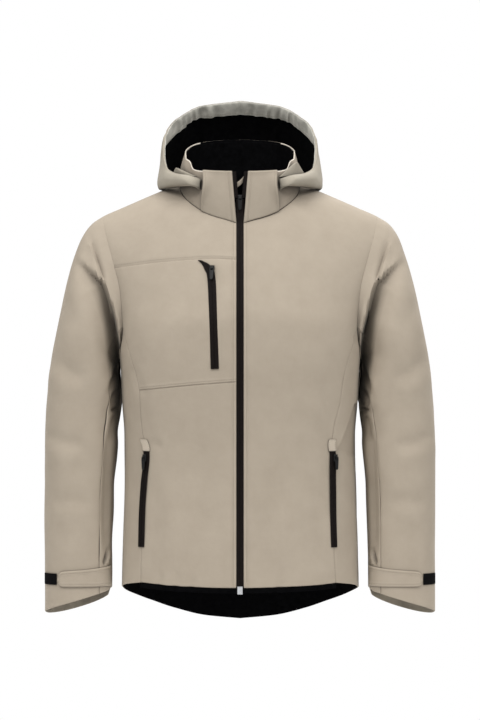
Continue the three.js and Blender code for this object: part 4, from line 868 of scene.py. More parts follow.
def armholeLine():
    # the armhole's edge from the shoulder down the front, under the arm and up the back, the angle of each point
    # (180 in the middle under the arm), and the angles of the front and back seam
    count, (_, topZ), lowZ = sleeve["armholePoints"], torso["shoulder"], torso["princessTop"]
    down = topZ + (lowZ - topZ) * np.linspace(0, 1, count) ** 1.7
    turns = np.linspace(-armholeTurn["front"], armholeTurn["back"], count)
    front = torsoFace(frontArmholeAt(down), down, False)
    under = torsoRing(turns, underarmAt(turns), 1)
    back = torsoFace(backArmholeAt(down[::-1]), down[::-1], True)
    line = np.concatenate([front, under[1:], back[1:]])
    lengths = lengthsAlong(line, 0)
    middle, total = lengths[count - 1 + count // 2], lengths[-1]
    angles = np.where(lengths <= middle, 180 * lengths / middle,
                      180 + 180 * (lengths - middle) / (total - middle))
    return line, angles, float(angles[count - 1]), float(angles[2 * (count - 1)])


armhole, armholeAngles, frontSeamAngle, backSeamAngle = armholeLine()
sleeveFoldLine = splineThrough(sleeve["fold"], np.linspace(0, 1, 53))


def sleeveFoldAt(x, z):
    # the deep fold below the cap, over the signed distance from its line: a trough that opens on the outer side
    # and fades away from it, and a low lip on the body side
    nearest = np.full(x.shape, 1e9)
    outside, depth = np.zeros(x.shape, bool), np.zeros(x.shape)
    for (x0, z0, d0), (x1, z1, d1) in zip(sleeveFoldLine, sleeveFoldLine[1:]):
        dx, dz = x1 - x0, z1 - z0
        t = clamp01(((x - x0) * dx + (z - z0) * dz) / (dx * dx + dz * dz))
        ox, oz = x - x0 - dx * t, z - z0 - dz * t
        distance = np.hypot(ox, oz)
        closer = distance < nearest
        nearest = np.where(closer, distance, nearest)
        outside = np.where(closer, ox * dz - oz * dx < 0, outside)
        depth = np.where(closer, mix(d0, d1, t), depth)
    signed = np.where(outside, nearest, -nearest)
    start, span = sleeve["foldOpening"]
    opening = smooth((signed + start) / span)
    trough = depth * opening * np.exp(-(np.maximum(signed, 0) / sleeve["foldWidth"]) ** 1.5)
    lip = sleeve["foldLip"] * np.minimum(depth / sleeve["lipDepth"], 1) * np.exp(-(nearest / sleeve["lipWidth"]) ** 2)
    return trough - lip * (1 - opening)


def superRound(value):  # a sine or cosine bent so that a circle turns into a superellipse
    return np.sign(value) * np.abs(value) ** (2 / sleeve["squareness"])


def cuffEdgeZ(x, y, middleY, front, back):
    # the cuff's edge slopes down to its outer side as across ^ 0.85 and drops further behind
    cuff = sleeve["cuff"]
    across = clamp01((x - cuff["innerX"]) / (cuff["outerX"] - cuff["innerX"]))
    behind = clamp01((y - middleY + front) / (front + back))
    drop = cuff["backDrop"] * behind ** 1.5 * smooth(across * 16)
    return mix(cuff["innerZ"], cuff["outerZ"], across ** 0.85) - drop


def sleeveFace(station, degrees):
    # the left sleeve's face: the armhole's outline turning, station by station, into a superellipse tube whose
    # chord runs from the body side to the outer side. degrees: 0 outer edge, 90 front, 180 body side.
    s = np.clip(station, 0, lastStation + 1)
    innerX, innerZ, outerX, outerZ, front, back, middleY, merge = (curve(s) for curve in stationCurves)
    wrapped = np.mod(degrees, 360)
    loop = np.stack([np.interp(wrapped, armholeAngles, armhole[:, k]) for k in range(3)], -1)
    angle = np.radians(degrees)
    (ix, iz), (ox, oz) = sleeve["stations"][0][:2], sleeve["stations"][0][2:4]
    startChord = np.array([(ox - ix) / 2, (oz - iz) / 2])
    reach = np.hypot(*startChord)
    offX, offZ = loop[..., 0] - (ox + ix) / 2, loop[..., 2] - (oz + iz) / 2
    loopAlong = (offX * startChord[0] + offZ * startChord[1]) / reach ** 2
    loopAside = (offX * startChord[1] - offZ * startChord[0]) / reach
    along = mix(loopAlong, superRound(np.cos(angle)), smooth(merge))
    aside = loopAside * (1 - smooth(merge * 1.4))
    depth = np.where(np.sin(angle) > 0, front, back)
    tubeY = middleY - depth * superRound(np.sin(angle))
    chordX, chordZ = (outerX - innerX) / 2, (outerZ - innerZ) / 2
    length = np.hypot(chordX, chordZ)
    x = (outerX + innerX) / 2 + chordX * along + chordZ / length * aside
    z = (outerZ + innerZ) / 2 + chordZ * along - chordX / length * aside
    y = mix(loop[..., 1], tubeY, smooth(merge * 1.1))
    facing = smooth(np.abs(np.sin(angle)) * 2.2) * smooth(merge * 10)
    y = y + sleeveFoldAt(x, z) * facing * np.where(np.sin(angle) > 0, 1, -0.35)
    x = x - leanAt(z) * smooth(-np.cos(angle) * 2) * smooth(merge * 3)
    past = clamp01(s - lastStation)
    z = np.where(past > 0, mix(z, cuffEdgeZ(x, y, middleY, front, back), past), z)
    return np.stack([x, y, z], -1)


def sleeveStations(startStyle, endStyle):
    # stations an even step apart along the mean of the sleeve's outer and inner edges
    fine = np.linspace(0, lastStation + 1, 700)
    edges = [lengthsAlong(sleeveFace(fine, np.full(700, angle)), 0) for angle in (0.0, 180.0)]
    lengths = (edges[0] + edges[1]) / 2
    shares = stopsAlong(lengths[-1], sleeve["step"], startStyle, endStyle)
    return np.interp(shares * lengths[-1], lengths, fine)


# creases of the sleeve as seen from the front (x away from the body) and from behind
sleeveCreases = {
    "front": [
        {"path": [(225, -654), (227, -610), (226, -540), (224, -470), (225, -425)],
         "width": 7.5, "depth": 6.0, "lip": 1.6, "fade": (0.3, 0.3)},
        {"path": [(231, -657), (227, -644), (222, -629)], "width": 2.3, "depth": 12, "lip": 3.2, "fade": (0.01, 0.7)},
        {"path": [(259, -94), (250, -116), (244, -134), (237, -156), (232, -176)],
         "width": 3.4, "depth": 4.2, "lip": 1.9, "fade": (0.3, 0.1)},
        {"path": [(211, -312), (215, -336), (220, -352), (221, -376)], "width": 3.5, "depth": 4.4, "lip": 2.2},
        {"path": [(209, -356), (215, -368), (219, -380), (216, -398)], "width": 3, "depth": 4.0, "lip": 2.2},
        {"path": [(208, -388), (214, -394), (221, -396)], "width": 3, "depth": 3.4, "lip": 2.0},
        {"path": [(210, -404), (217, -412), (220, -430), (219, -452)], "width": 4, "depth": 3.4, "lip": 1.8},
        {"path": [(326, -300), (290, -330), (258, -342)], "width": 15, "depth": 2.8, "lip": 1.6},
        {"path": [(330, -430), (300, -450), (262, -452)], "width": 13, "depth": 2.4, "lip": 1.4},
        {"path": [(322, -560), (284, -548), (250, -560)], "width": 14, "depth": 2.1, "lip": 1.2},
        {"path": [(312, -200), (286, -236), (262, -262)], "width": 16, "depth": 1.5, "lip": 0.8},
    ],
    "back": [
        {"path": [(236, -130), (228, -190), (220, -250)], "width": 9, "depth": 4, "lip": 1.5},
        {"path": [(318, -380), (280, -404), (236, -400)], "width": 12, "depth": 2.6, "lip": 1.2},
        {"path": [(326, -440), (280, -456), (232, -448)], "width": 12, "depth": 2.8, "lip": 1.3},
        {"path": [(322, -510), (284, -516), (244, -504)], "width": 13, "depth": 2.0, "lip": 1.0},
        {"path": [(300, -220), (270, -250), (240, -268)], "width": 13, "depth": 2.0, "lip": 1.0},
    ],
}


def sleevePanel(node, side, fromAngle, toAngle, around, seed):
    # the sleeve's face between two seams, with its creases, soft waves and rest at the armhole and cuff as relief
    seamMargin = sleeve["seamGap"] / around * (toAngle - fromAngle) / 2
    us, stations = stopsAlong(around, sleeve["step"], "seam", "seam"), sleeveStations("seam", "free")
    degrees, station = np.meshgrid(mix(fromAngle + seamMargin, toAngle - seamMargin, us), stations)
    points = sleeveFace(station, degrees)
    x, z = points[..., 0], points[..., 2]
    turn = np.sin(np.radians(degrees))
    relief = creaseField(x, z, sleeveCreases["front"]) * smooth(turn * 2.2)
    relief = relief + creaseField(x, z, sleeveCreases["back"]) * smooth(-turn * 2.2)
    relief = relief + softWaves(np.mod(degrees, 360) * 1.1, z, seed, 85, 1.0)
    relief = relief * smooth(station / 1.2) * mix(1, 0.35, smooth((station - lastStation + 0.2) / 0.4))
    points[..., 0] *= side
    innerX, innerZ, outerX, outerZ, _, _, middleY, _ = (curve(stations) for curve in stationCurves)
    middle = np.stack([side * (innerX + outerX) / 2, middleY, (innerZ + outerZ) / 2], -1)[:, None]
    middle[stations > lastStation, :, 2] -= sleeve["cuffMiddleDrop"]
    # inner faces within the facing's reach of the cuff take the turned-in shell, darkened as painted shade
    panel = clothShell(f"cloth_{node}", points, {"left": "seam", "right": "seam", "bottom": "seam", "top": "free"},
                       middle, relief=relief, facing=lambda d: d["top"] < sleeve["facing"],
                       finishes=("shell", "fleece", "cuffFacingShaded"), weights={"bottom": torso["armholeWeight"]})
    dress(panel["piece"], [node])


for side, word in sideWords.items():
    sleevePanel(f"sleeve_upper_{word}", side, backSeamAngle - 360, frontSeamAngle, sleeve["upperSpan"],
                40 + side)
    sleevePanel(f"sleeve_under_{word}", side, frontSeamAngle, backSeamAngle, sleeve["underSpan"],
                50 + side)
print("sleeves made")


# Cuffs: a strap over the sleeve's front and the hook tape that it fastens to

cuffTab = {"innerX": 221, "endX": 309, "innerTopZ": -660, "endTopZ": -670, "bottomZ": -695, "lift": 0.6,
           "thickness": 2, "roundShare": 0.09}
hookPatch = {"innerX": 311, "outerX": 332, "topZ": -673, "bottomZ": -692, "lift": 0.5, "thickness": 1.4}
cuffStripGrid = {"height": 26, "step": 1.6, "inside": (277, -20, -680)}


def degreesAtX(x):
    # the angle of the sleeve's last station at this x, by halving
    low, high = 0.0, 180.0
    for _ in range(40):
        middle = (low + high) / 2
        further = sleeveFace(np.array(lastStation), np.array(middle))[0] > x
        low, high = (middle, high) if further else (low, middle)
    return (low + high) / 2


def cuffStrip(name, side, innerX, outerX, topAt, bottomAt, sizes, edges, finishes):
    # the ring of the sleeve's last station between two x, carried straight up and down to the strip's edges
    us = stopsAlong(abs(innerX - outerX), cuffStripGrid["step"], edges["left"], edges["right"])
    vs = stopsAlong(cuffStripGrid["height"], cuffStripGrid["step"], edges["bottom"], edges["top"])
    ring = sleeveFace(np.full(len(us), float(lastStation)), mix(degreesAtX(outerX), degreesAtX(innerX), us))
    z = mix(bottomAt(us)[None, :], topAt(us)[None, :], vs[:, None])
    points = np.stack([*np.broadcast_arrays(side * ring[:, 0], ring[:, 1], z)], -1)
    x, y, low = cuffStripGrid["inside"]
    return clothShell(name, points, edges, (side * x, y, low), thickness=sizes["thickness"],
                      relief=sizes["lift"] + sizes["thickness"], finishes=finishes)


def roundedEnd(us):  # quarter circle at the strap's end
    return np.sqrt(np.clip(1 - (1 - clamp01(us / cuffTab["roundShare"])) ** 2, 0.02, 1))


def tabTop(us):  # the strap's edges: straight lines, drawn together at its rounded end
    return mix(tabMiddleZ, mix(cuffTab["endTopZ"], cuffTab["innerTopZ"], us), roundedEnd(us))


def tabBottom(us):
    return mix(tabMiddleZ, cuffTab["bottomZ"], roundedEnd(us))


tabMiddleZ = (cuffTab["endTopZ"] + cuffTab["bottomZ"]) / 2
tabEdges = {"left": "free", "right": "seam", "bottom": "topstitched", "top": "topstitched"}
for side, word in sideWords.items():
    tab = cuffStrip(f"cloth_cuff_tab_{word}", side, cuffTab["innerX"], cuffTab["endX"], tabTop, tabBottom, cuffTab,
                    tabEdges, ("shell", "shell"))
    dress(tab["piece"], [f"cuff_tab_{word}"])
    panels[f"tab_{word}"] = tab
    hook = cuffStrip(
        f"hook_tape_{word}", side, hookPatch["innerX"], hookPatch["outerX"],
        lambda us: np.full(len(us), float(hookPatch["topZ"])),
        lambda us: np.full(len(us), float(hookPatch["bottomZ"])), hookPatch, allFree, ("hook", "hook"))
    dress(hook["piece"], [f"cuff_hook_{word}"])
print("cuffs made")


# Collar

collar = {
    # turn from the middle of the back, x, y, z of the top edge
    "top": [(0, 0, 62, 74), (30, 44, 57.5, 71.5), (60, 78, 38, 64.5), (90, 94, 8, 50), (114, 93, -22, 35.5),
            (122, 86, -36, 29.5), (132, 79.5, -50, 15), (144, 62, -61.5, 11), (156, 42, -69.5, 10.5),
            (180, 13.5, -75, 9.5)],
    "bulge": 2.5, "thickness": 1.8, "innerThickness": 1.4, "innerTurn": 178.6, "innerHeight": 0.955,
    "span": 600, "innerSpan": 590, "height": 90,
    # painted highlight, the top edge paler than the shell: its reach inside, from which turn, and its reach outside,
    # round which turn and how far each way
    "rim": 4, "highlightTurn": 52, "outerHighlight": 2.6, "outerHighlightTurn": 105, "outerHighlightSpread": 47,
    # lift is the gap under the flap. cover and tuck stand it off and turn it round the hood's end at overZ.
    "flap": {"outerTurn": 142.5, "lift": 0.5, "sink": 0.5, "thickness": 1.6, "cover": 10, "tuck": 5, "overZ": -13,
             "overReach": 27},
}
collarTopCurves = [tableCurve([(row[0], row[k]) for row in collar["top"]]) for k in (1, 2, 3)]


def neckBase(turn):
    # the neck seam by turn: half ellipses of x over the neckline curves, on the torso's face
    front = turn >= 90
    rad = np.radians(turn)
    neckX = torso["neck"][0]
    x = np.where(front, mix(centreEdge, neckX, np.sin(math.pi - rad)), neckX * np.sin(rad))
    z = np.where(front, frontNeckAt(x), backNeckAt(x))
    return torsoFace(x, z, ~front)


def collarFace(turn, share):
    # straight from the neck seam to the top edge, swollen a little between. Positive turns are the wearer's left.
    halfTurn = np.minimum(np.abs(turn), 180)
    top = np.stack([curve(halfTurn) for curve in collarTopCurves], -1)
    swell = collar["bulge"] * np.sin(math.pi * share)
    points = mix(neckBase(halfTurn), top, share[..., None])
    points[..., 0] = (points[..., 0] + swell * np.sin(np.radians(halfTurn))) * np.where(turn < 0, -1, 1)
    points[..., 1] += swell * np.cos(np.radians(halfTurn))
    return points


def collarGrid(fromTurn, toTurn, us, vs):  # the collar's face between two turns, on these shares
    turn, share = np.meshgrid(mix(fromTurn, toTurn, us), vs)
    return collarFace(turn, share), turn, share


def outerCollar():
    # the collar's face from zip to zip, with soft waves that rest at the seam and the top edge
    points, turn, share = collarGrid(-180, 180, stopsAlong(collar["span"], 3.2, "zip", "zip"),
                                     stopsAlong(collar["height"], 3.0, "seam", "free"))
    waves = softWaves(turn * 1.6, share * 80, 61, 60, 0.7)

    # the shell rolled over the top edge, coloured paler as painted highlight: inside only on the front sides, outside
    # round the front
    def highlightInside(distances):
        return (distances["top"] < collar["rim"]) & (np.abs(turn) > collar["highlightTurn"])

    def highlightOutside(distances):
        nearFront = np.abs(np.abs(turn) - collar["outerHighlightTurn"]) < collar["outerHighlightSpread"]
        return (distances["top"] < collar["outerHighlight"]) & nearFront

    panel = clothShell(
        "cloth_collar", points, {"left": "zip", "right": "zip", "bottom": "seam", "top": "free"}, (0, 0, 0),
        thickness=collar["thickness"], relief=waves * smooth(share * 4) * smooth((1 - share) * 5),
        facing=highlightInside, outerHighlight=highlightOutside, finishes=("collarShadedShell", "fleece", "rimHighlight"))
    dress(panel["piece"], ["collar_outer"])


def innerCollar():
    # the same face a cloth's thickness further in, ending a little below the top edge
    limit = collar["innerTurn"]
    points, turn, share = collarGrid(-limit, limit, stopsAlong(collar["innerSpan"], 3.4, "free", "free"),
                                     stopsAlong(collar["height"], 3.2, "seam", "free") * collar["innerHeight"])
    waves = softWaves(turn * 1.6, share * 80, 62, 50, 0.4) * smooth((1 - share) * 4)
    panel = clothShell("cloth_collar_inner", points, {"top": "free"}, (0, 0, 0), thickness=collar["innerThickness"],
                       relief=waves - (collar["thickness"] + 0.3), finishes=("fleece", "fleece"))
    dress(panel["piece"], ["collar_inner"])


def collarFlap(side):
    # the collar's face moved out, with its outer edge stood off and turned over the hood's end as a bell in z
    flap, word = collar["flap"], sideWords[side]
    points, turn, share = collarGrid(side * flap["outerTurn"], side * 180, stopsAlong(52, 2.4, "topstitched", "zip"),
                                     stopsAlong(88, 2.4, "seam", "topstitched"))
    over = np.exp(-((points[..., 2] - flap["overZ"]) / flap["overReach"]) ** 2)
    over = over * smooth((158 - np.abs(turn)) / 17)
    bow = flap["cover"] * over + 0.8 * smooth((175 - np.abs(turn)) / 20)
    panel = clothShell(
        f"cloth_collar_flap_{word}", collarFace(turn + side * flap["tuck"] * over, share),
        {"left": "topstitched", "right": "zip", "bottom": "seam", "top": "topstitched"}, (0, 0, 0),
        thickness=flap["thickness"], relief=flap["lift"] + flap["thickness"] - flap["sink"] + bow,
        finishes=("flapShell", "flapShell"))
    dress(panel["piece"], [f"collar_flap_{word}"])
    panels[f"flap_{word}"] = panel


outerCollar()
innerCollar()
collarFlap(1)
collarFlap(-1)
print("collar made")


# Hood

hood = {
    # turn, then the five points of a section: neck seam, under, belly, upper, rim
    "sections": [
        (0, (0, 67, 7), (0, 138, -80), (0, 199, -8), (0, 180, 88), (0, 140, 149)),
        (0.2, (40.8, 62.8, 4), (45, 133, -77), (63, 189, -6), (64, 170, 84), (69.5, 129, 138.5)),
        (0.4, (79, 48, 0), (92, 112, -58), (111, 152, -4), (113, 137, 70), (109.5, 101, 115)),
        (0.52, (98.5, 29, -2), (124, 68, -27), (138.5, 88, 2), (135.5, 84, 52), (127.5, 77, 92)),
        (0.62, (107.6, 12, -3), (131, 36, -19), (142, 44, -1), (138, 49, 38), (131.8, 50, 71)),
        (0.7, (134, 11, -15.5), (140, 12, -15.5), (142.3, 16, -3), (138, 22, 25), (132, 26, 49)),
        (0.78, (121, -7, -16), (129, -20, -15), (132, -22, -1), (129.6, -16, 13), (126.5, -8, 23)),
        (0.86, (100, -31, -14), (109, -50, -14), (113.5, -53, -4), (113, -46, 6), (110, -33, 9)),
        (0.93, (80, -57, -15), (85, -76, -15), (89, -79, -7), (88, -73, 0), (84.5, -62, 3)),
        (1, (66, -63, -25), (66.5, -68, -19.5), (67, -69, -13.5), (66.5, -67.5, -7.5), (66, -64, -2.5))],
    "peaks": {  # the folded ends beside the collar, left (1) and right (-1)
        1: {"base": (66, -66, 0), "tip": (96, -40, 27), "heel": (112, -24, 7), "flat": (0.045, 0.022)},
        -1: {"base": (72.5, -62.7, 1), "tip": (108, -31.5, 18), "heel": (115.7, -22.9, 9), "flat": (0.036, 0.014)}},
    "peakDepth": 3, "span": 330, "inside": (0, 90, 30), "rim": 12, "seamRest": 9,
    # the facing: share of the hood at its inner edge, how much wider at the sides, how far round, and its cloth
    "facingShare": 0.885, "facingWiden": 0.135, "facingTurn": 0.8, "facingThickness": 1.4, "facingDepth": 1.75,
    "facingSpan": 300, "facingHeight": 30, "peakLength": 50, "peakHeight": 36,
}
hoodLines = [[tableCurve([(row[0], row[line][axis]) for row in hood["sections"]]) for axis in range(3)]
             for line in range(1, 6)]


def hoodFace(turn, share):
    # a Catmull-Rom line from the neck seam under and round the bag to the rim, for each turn
    knots = np.stack([np.stack([curve(turn) for curve in line], -1) for line in hoodLines])
    last = len(knots) - 1
    s = clamp01(share) * last
    i = np.minimum(np.floor(s).astype(int), last - 1)
    f = (s - i)[..., None]

    def pick(k):
        index = np.clip(i + k, 0, last)[None, ..., None]
        return np.take_along_axis(knots, np.broadcast_to(index, (1, *share.shape, 3)), 0)[0]

    a, b, c, d = (pick(k) for k in (-1, 0, 1, 2))
    return b + 0.5 * f * (c - a + f * (2 * a - 5 * b + 4 * c - d + f * (3 * (b - c) + d - a)))


def rimGathers(turn, share, seed):
    # uneven puckers that the rim is gathered into: three sine waves along it, fading down the hood
    rng = np.random.default_rng(seed)
    total = 0
    for cycles in (17, 26, 41):
        total = total + rng.uniform(0.5, 1) * np.sin(2 * math.pi * cycles * turn * 0.5 + rng.uniform(0, 6))
    rise = smooth((share - 0.78) / 0.12) * (1 - 0.75 * smooth((share - 0.93) / 0.07))
    return 0.75 * total * rise * smooth((0.82 - turn) / 0.12)


hoodCreases = [
    {"path": [(0.16, 0.95), (0.2, 0.8), (0.17, 0.66)], "width": 0.02, "depth": 2.2, "lip": 1.0},
    {"path": [(0.34, 0.97), (0.36, 0.82), (0.42, 0.7)], "width": 0.018, "depth": 2.4, "lip": 1.1},
    {"path": [(0.5, 0.8), (0.56, 0.6), (0.6, 0.45)], "width": 0.022, "depth": 2.0, "lip": 1.0},
]


def seamRest(turn):  # 0 in the middle seam, 1 away from it
    return smooth(turn * hood["span"] / hood["seamRest"])


def hoodRelief(turn, share, side):
    # puckers, creases and soft waves, at rest in the middle seam and where the hood narrows in front
    narrow = smooth((0.82 - turn) / 0.2)
    relief = (rimGathers(turn, share, 70 + side) + creaseField(turn, share, hoodCreases)) * narrow
    relief = relief + softWaves(turn * 300, share * 260, 72 + side, 70, 1.1) * narrow * smooth(share * 5)
    return relief * seamRest(turn)


def hoodHalf(side):
    # one half of the hood's face, from the middle seam to its front end
    word = sideWords[side]
    turn, share = np.meshgrid(stopsAlong(hood["span"], 3.2, "topstitched", "seam"),
                              stopsAlong(hood["span"], 3.4, "seam", "topstitched"))
    panel = clothShell(f"cloth_hood_{word}", hoodFace(turn, share) * (side, 1, 1),
                       {"left": "topstitched", "right": "seam", "bottom": "seam", "top": "topstitched"},
                       hood["inside"], relief=hoodRelief(turn, share, side),
                       facing=lambda d: d["top"] < hood["rim"], finishes=("hoodShell", "fleece", "hoodShell"))
    dress(panel["piece"], [f"hood_{word}"])
    panels[f"hood_{word}"] = panel


def hoodFacing(side):
    # the band inside the rim: the hood's face between two shares, set in by its depth and gathered
    word, depth = sideWords[side], hood["facingDepth"]
    turn, across = np.meshgrid(stopsAlong(hood["facingSpan"], 2.6) * hood["facingTurn"],
                               stopsAlong(hood["facingHeight"], 2.0, "topstitched", "free"))
    inner = hood["facingShare"] - hood["facingWiden"] * smooth((turn - 0.25) / 0.45)
    share = mix(inner, 1, across)
    gathers = rimGathers(turn, share, 70 + side) * 0.7 + rimGathers(turn * 1.7 + 0.1, share, 90 + side)
    rest = smooth((1 - share) / 0.02)
    relief = -depth - 0.35 * rest + gathers * rest * seamRest(turn) * 0.9
    relief = np.minimum(relief, -depth - 0.3 * rest) + hoodRelief(turn, share, side)
    # the facing's cloth is lightened as painted light
    panel = clothShell(f"cloth_hood_facing_{word}", hoodFace(turn, share) * (side, 1, 1),
                       {"bottom": "free", "top": "free"}, hood["inside"], thickness=hood["facingThickness"],
                       relief=relief, finishes=("facing", "facing"))
    dress(panel["piece"], [f"hood_facing_{word}"])
    panels[f"facing_{word}"] = panel


def hoodPeak(side):
    # the hood's front end folded up beside the collar: a bent leaf between its foot line and its tip
    peak, word = hood["peaks"][side], sideWords[side]
    us = stopsAlong(hood["peakLength"], 1.8, "free", "free")
    vs = stopsAlong(hood["peakHeight"], 1.6, "free", "free")
    u, v = (grid[..., None] for grid in np.meshgrid(us, vs))
    base, tip, heel = (np.array(peak[key], float) for key in ("base", "tip", "heel"))
    foot = mix(base, heel, u)
    head = tip + (heel - base) * (u - 0.5) * 0.12
    bend = hood["peakDepth"] * np.sin(math.pi * u) * (1 - v * 0.5)
    points = mix(foot, head, v) + np.array([0.6, -0.8, 0]) * bend
    panel = clothShell(f"cloth_hood_fold_{word}", points * (side, 1, 1), allFree, (side * 60, 30, 0),
                       finishes=("hoodShell", "hoodShell"))
    dress(panel["piece"], [f"hood_fold_{word}"])


for side in sideWords:
    hoodHalf(side)
    hoodFacing(side)
for side in sideWords:
    hoodPeak(side)
print("hood made")


# Zips

zips = {
    "mainWidth": 13.2, "mainBottom": -693, "sliderZ": -37, "tapeThickness": 1.4, "recess": 0.8,
    "coilPitch": 1.5, "coilSpread": 1.15, "coilLean": 0.25, "coilHeight": 0.15, "beadLength": 2.5, "beadRadius": 0.42,
    "surfaceLift": 1.7, "surfaceThickness": 1.3,  # of the tapes that lie on the cloth's face
    "chestPath": [(-70, -142.6), (-63, -146.5), (-54, -156), (-48, -172), (-45, -230), (-42, -325)],
    "chestWidths": [1, 5, 12, 13.4, 13.4, 13.4], "chestBareRows": 14,
    "pocketWidth": 10.4, "pocketTop": -464, "pocketBottom": -625,
}
garage = {"width": 12.4, "height": 20, "topZ": -444, "gap": 0.3, "step": 1.2, "thickness": 1.2, "lift": 2.0}
collarFoot = neckBase(np.array([180.0]))[0]
collarHead = np.array([curve(180.0) for curve in collarTopCurves])


def frontLineShare(z):  # 0 at the neck seam and 1 at the collar's top
    return (z - collarFoot[2]) / (collarHead[2] - collarFoot[2])


def centreFace(x, z):
    # the middle line of the front, the torso's up to the neck seam and then the collar's, carried along x
    low = torsoFace(np.zeros_like(z), z, False)[..., 1]
    high = mix(collarFoot[1], collarHead[1], frontLineShare(z))
    return np.stack([x, np.where(z <= collarFoot[2], low, high), z], -1)


def coilBeads(centres, across, up):
    # one bead a row: a short tube of six sides across the zip, pinched at its ends
    ring = np.radians(np.arange(6) * 60)
    stops = np.array([-0.5, -0.38, 0.38, 0.5]) * zips["beadLength"]
    radii = np.array([0.35, 1, 1, 0.35]) * zips["beadRadius"]
    third = np.cross(across, up)
    spine = centres[:, None] + across[:, None] * stops[None, :, None]
    circle = np.cos(ring)[:, None] * up[:, None, None] + np.sin(ring)[:, None] * third[:, None, None]
    return spine[:, :, None] + circle * radii[None, :, None, None]


def addBeads(name, groups, finish):
    # joins bead grids of (n, rings, sides, 3) into one mesh, each closed at both ends by a fan of quads
    beads = np.concatenate(groups)
    count, rings, sides = beads.shape[:3]
    base = np.arange(sides)
    ahead = (base + 1) % sides
    walls = [np.stack([base, ahead, ahead + sides, base + sides], -1) + k * sides for k in range(rings - 1)]
    fan = np.array([[0, k + 1, k, k - 1] for k in range(2, sides - 1, 2)])
    one = np.concatenate([*walls, fan, fan[:, [0, 3, 2, 1]] + (rings - 1) * sides])
    if enclosedVolume(beads[0].reshape(-1, 3), one) < 0:
        one = one[:, ::-1]
    quads = (one[None] + (np.arange(count) * rings * sides)[:, None, None]).reshape(-1, 4)
    vertices = beads.reshape(-1, 3)
    piece = addPiece(name, vertices, quads, vertices[:, [0, 2]], 0, (finish,), 60)
    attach(piece, body)


def resample(points, normals, step):
    # evenly spaced places on a line, with the unit directions along it and up from the cloth
    lengths = lengthsAlong(points, 0)
    count = max(int(lengths[-1] / step), 2)
    at = (np.arange(count) + 0.5) * lengths[-1] / count

    def read(values, where):
        return np.stack([np.interp(where, lengths, values[:, k]) for k in range(3)], -1)

    along = read(points, at + 0.6) - read(points, at - 0.6)
    along /= np.linalg.norm(along, axis=-1, keepdims=True)
    up = read(normals, at)
    up -= along * np.sum(along * up, -1, keepdims=True)
    up /= np.linalg.norm(up, axis=-1, keepdims=True)
    return read(points, at), along, up


def zipCoil(points, normals):
    # the coil of a closed zip: two rows of beads, one on each side of the middle, half a pitch apart
    places, along, up = resample(points, normals, zips["coilPitch"])
    across = np.cross(along, up)
    rows = []
    for side in sideWords:
        centre = places + across * side * zips["coilSpread"] + up * zips["coilHeight"]
        centre = centre + along * side * zips["coilLean"] * zips["coilPitch"]
        slant = across + along * zips["coilLean"] * side
        slant /= np.linalg.norm(slant, axis=-1, keepdims=True)
        rows.append(coilBeads(centre, slant, up))
    return np.concatenate(rows)


def tapeShell(name, points, node, relief, away=(0, 60, -300), thickness=zips["tapeThickness"]):
    panel = clothShell(name, points, {"left": "free", "right": "free"}, away, thickness=thickness, relief=relief,
                       finishes=("tape", "tape"))
    dress(panel["piece"], [node])
    return panel


def middleLine(panel):  # the line up the middle of a tape's face, and its normals
    column = panel["outer"].shape[1] // 2
    return panel["outer"][:, column], panel["normals"][:, column]


def tapeAcross(us, width):
    # the two halves of the tape: raised ribs beside the coil and a groove where they meet
    s = np.abs(us - 0.5) * width
    return (0.35 * np.exp(-((s - 2.9) / 0.5) ** 2) - 0.5 * np.exp(-(s / 0.35) ** 2))[None, :]


def mainZip():
    # the closed tape up the middle of the front, behind the two edges
    us, half = np.linspace(0, 1, 25), zips["mainWidth"] / 2
    x, z = np.meshgrid(mix(-half, half, us), np.linspace(zips["mainBottom"], zips["sliderZ"] - 1, 230))
    tape = tapeShell("tape_main", centreFace(x, z), "main_zip", tapeAcross(us, zips["mainWidth"]) - zips["recess"])
    return zipCoil(*middleLine(tape))


def openEnd(side):
    # half a tape above the slider, along the edge that spreads from the neck seam to the collar's top
    word, half = sideWords[side], zips["mainWidth"] / 2
    z = np.linspace(zips["sliderZ"] + 1, collarHead[2], 20)[:, None]
    edge = mix(collarFoot[0], collarHead[0], frontLineShare(z)) - 0.3
    x, z = np.broadcast_arrays(mix(edge - half + 0.5, edge, np.linspace(0, 1, 13)[None, :]), z)
    tape = tapeShell(f"tape_open_{word}", centreFace(x, z) * (side, 1, 1), f"main_zip_open_{word}", -zips["recess"],
                     away=(0, 60, -30))
    places, along, up = resample(tape["outer"][:, 1], tape["normals"][:, 1], zips["coilPitch"])
    return coilBeads(places + up * zips["coilHeight"], np.cross(along, up), up)


def chestZip():
    # a tape on the chest's face along a curve, with its width running out to a point at the top
    ts, us = 1 - stopsAlong(200, 1.6), np.linspace(0, 1, 21)
    path = splineThrough(zips["chestPath"], ts)
    widths = splineThrough([[width] for width in zips["chestWidths"]], ts)
    direction = np.gradient(path, axis=0)
    direction /= np.linalg.norm(direction, axis=-1, keepdims=True)
    aside = (us[None, :] - 0.5) * widths
    x, z = path[:, :1] + direction[:, 1:] * aside, path[:, 1:] - direction[:, :1] * aside
    tape = tapeShell("tape_chest", torsoFace(x, z, False), "chest_zip",
                     zips["surfaceLift"] + tapeAcross(us, zips["chestWidths"][-1]),
                     thickness=zips["surfaceThickness"])
    line, normals = middleLine(tape)
    return zipCoil(line[:-zips["chestBareRows"]], normals[:-zips["chestBareRows"]])


def alongFrontSeam(z, us, width, side):
    # a strip of the torso's face, this wide, with the front seam in its middle
    x = side * (frontSeamAt(z, side) + (us[None, :] - 0.5) * width)
    return torsoFace(*np.broadcast_arrays(x, z), False)


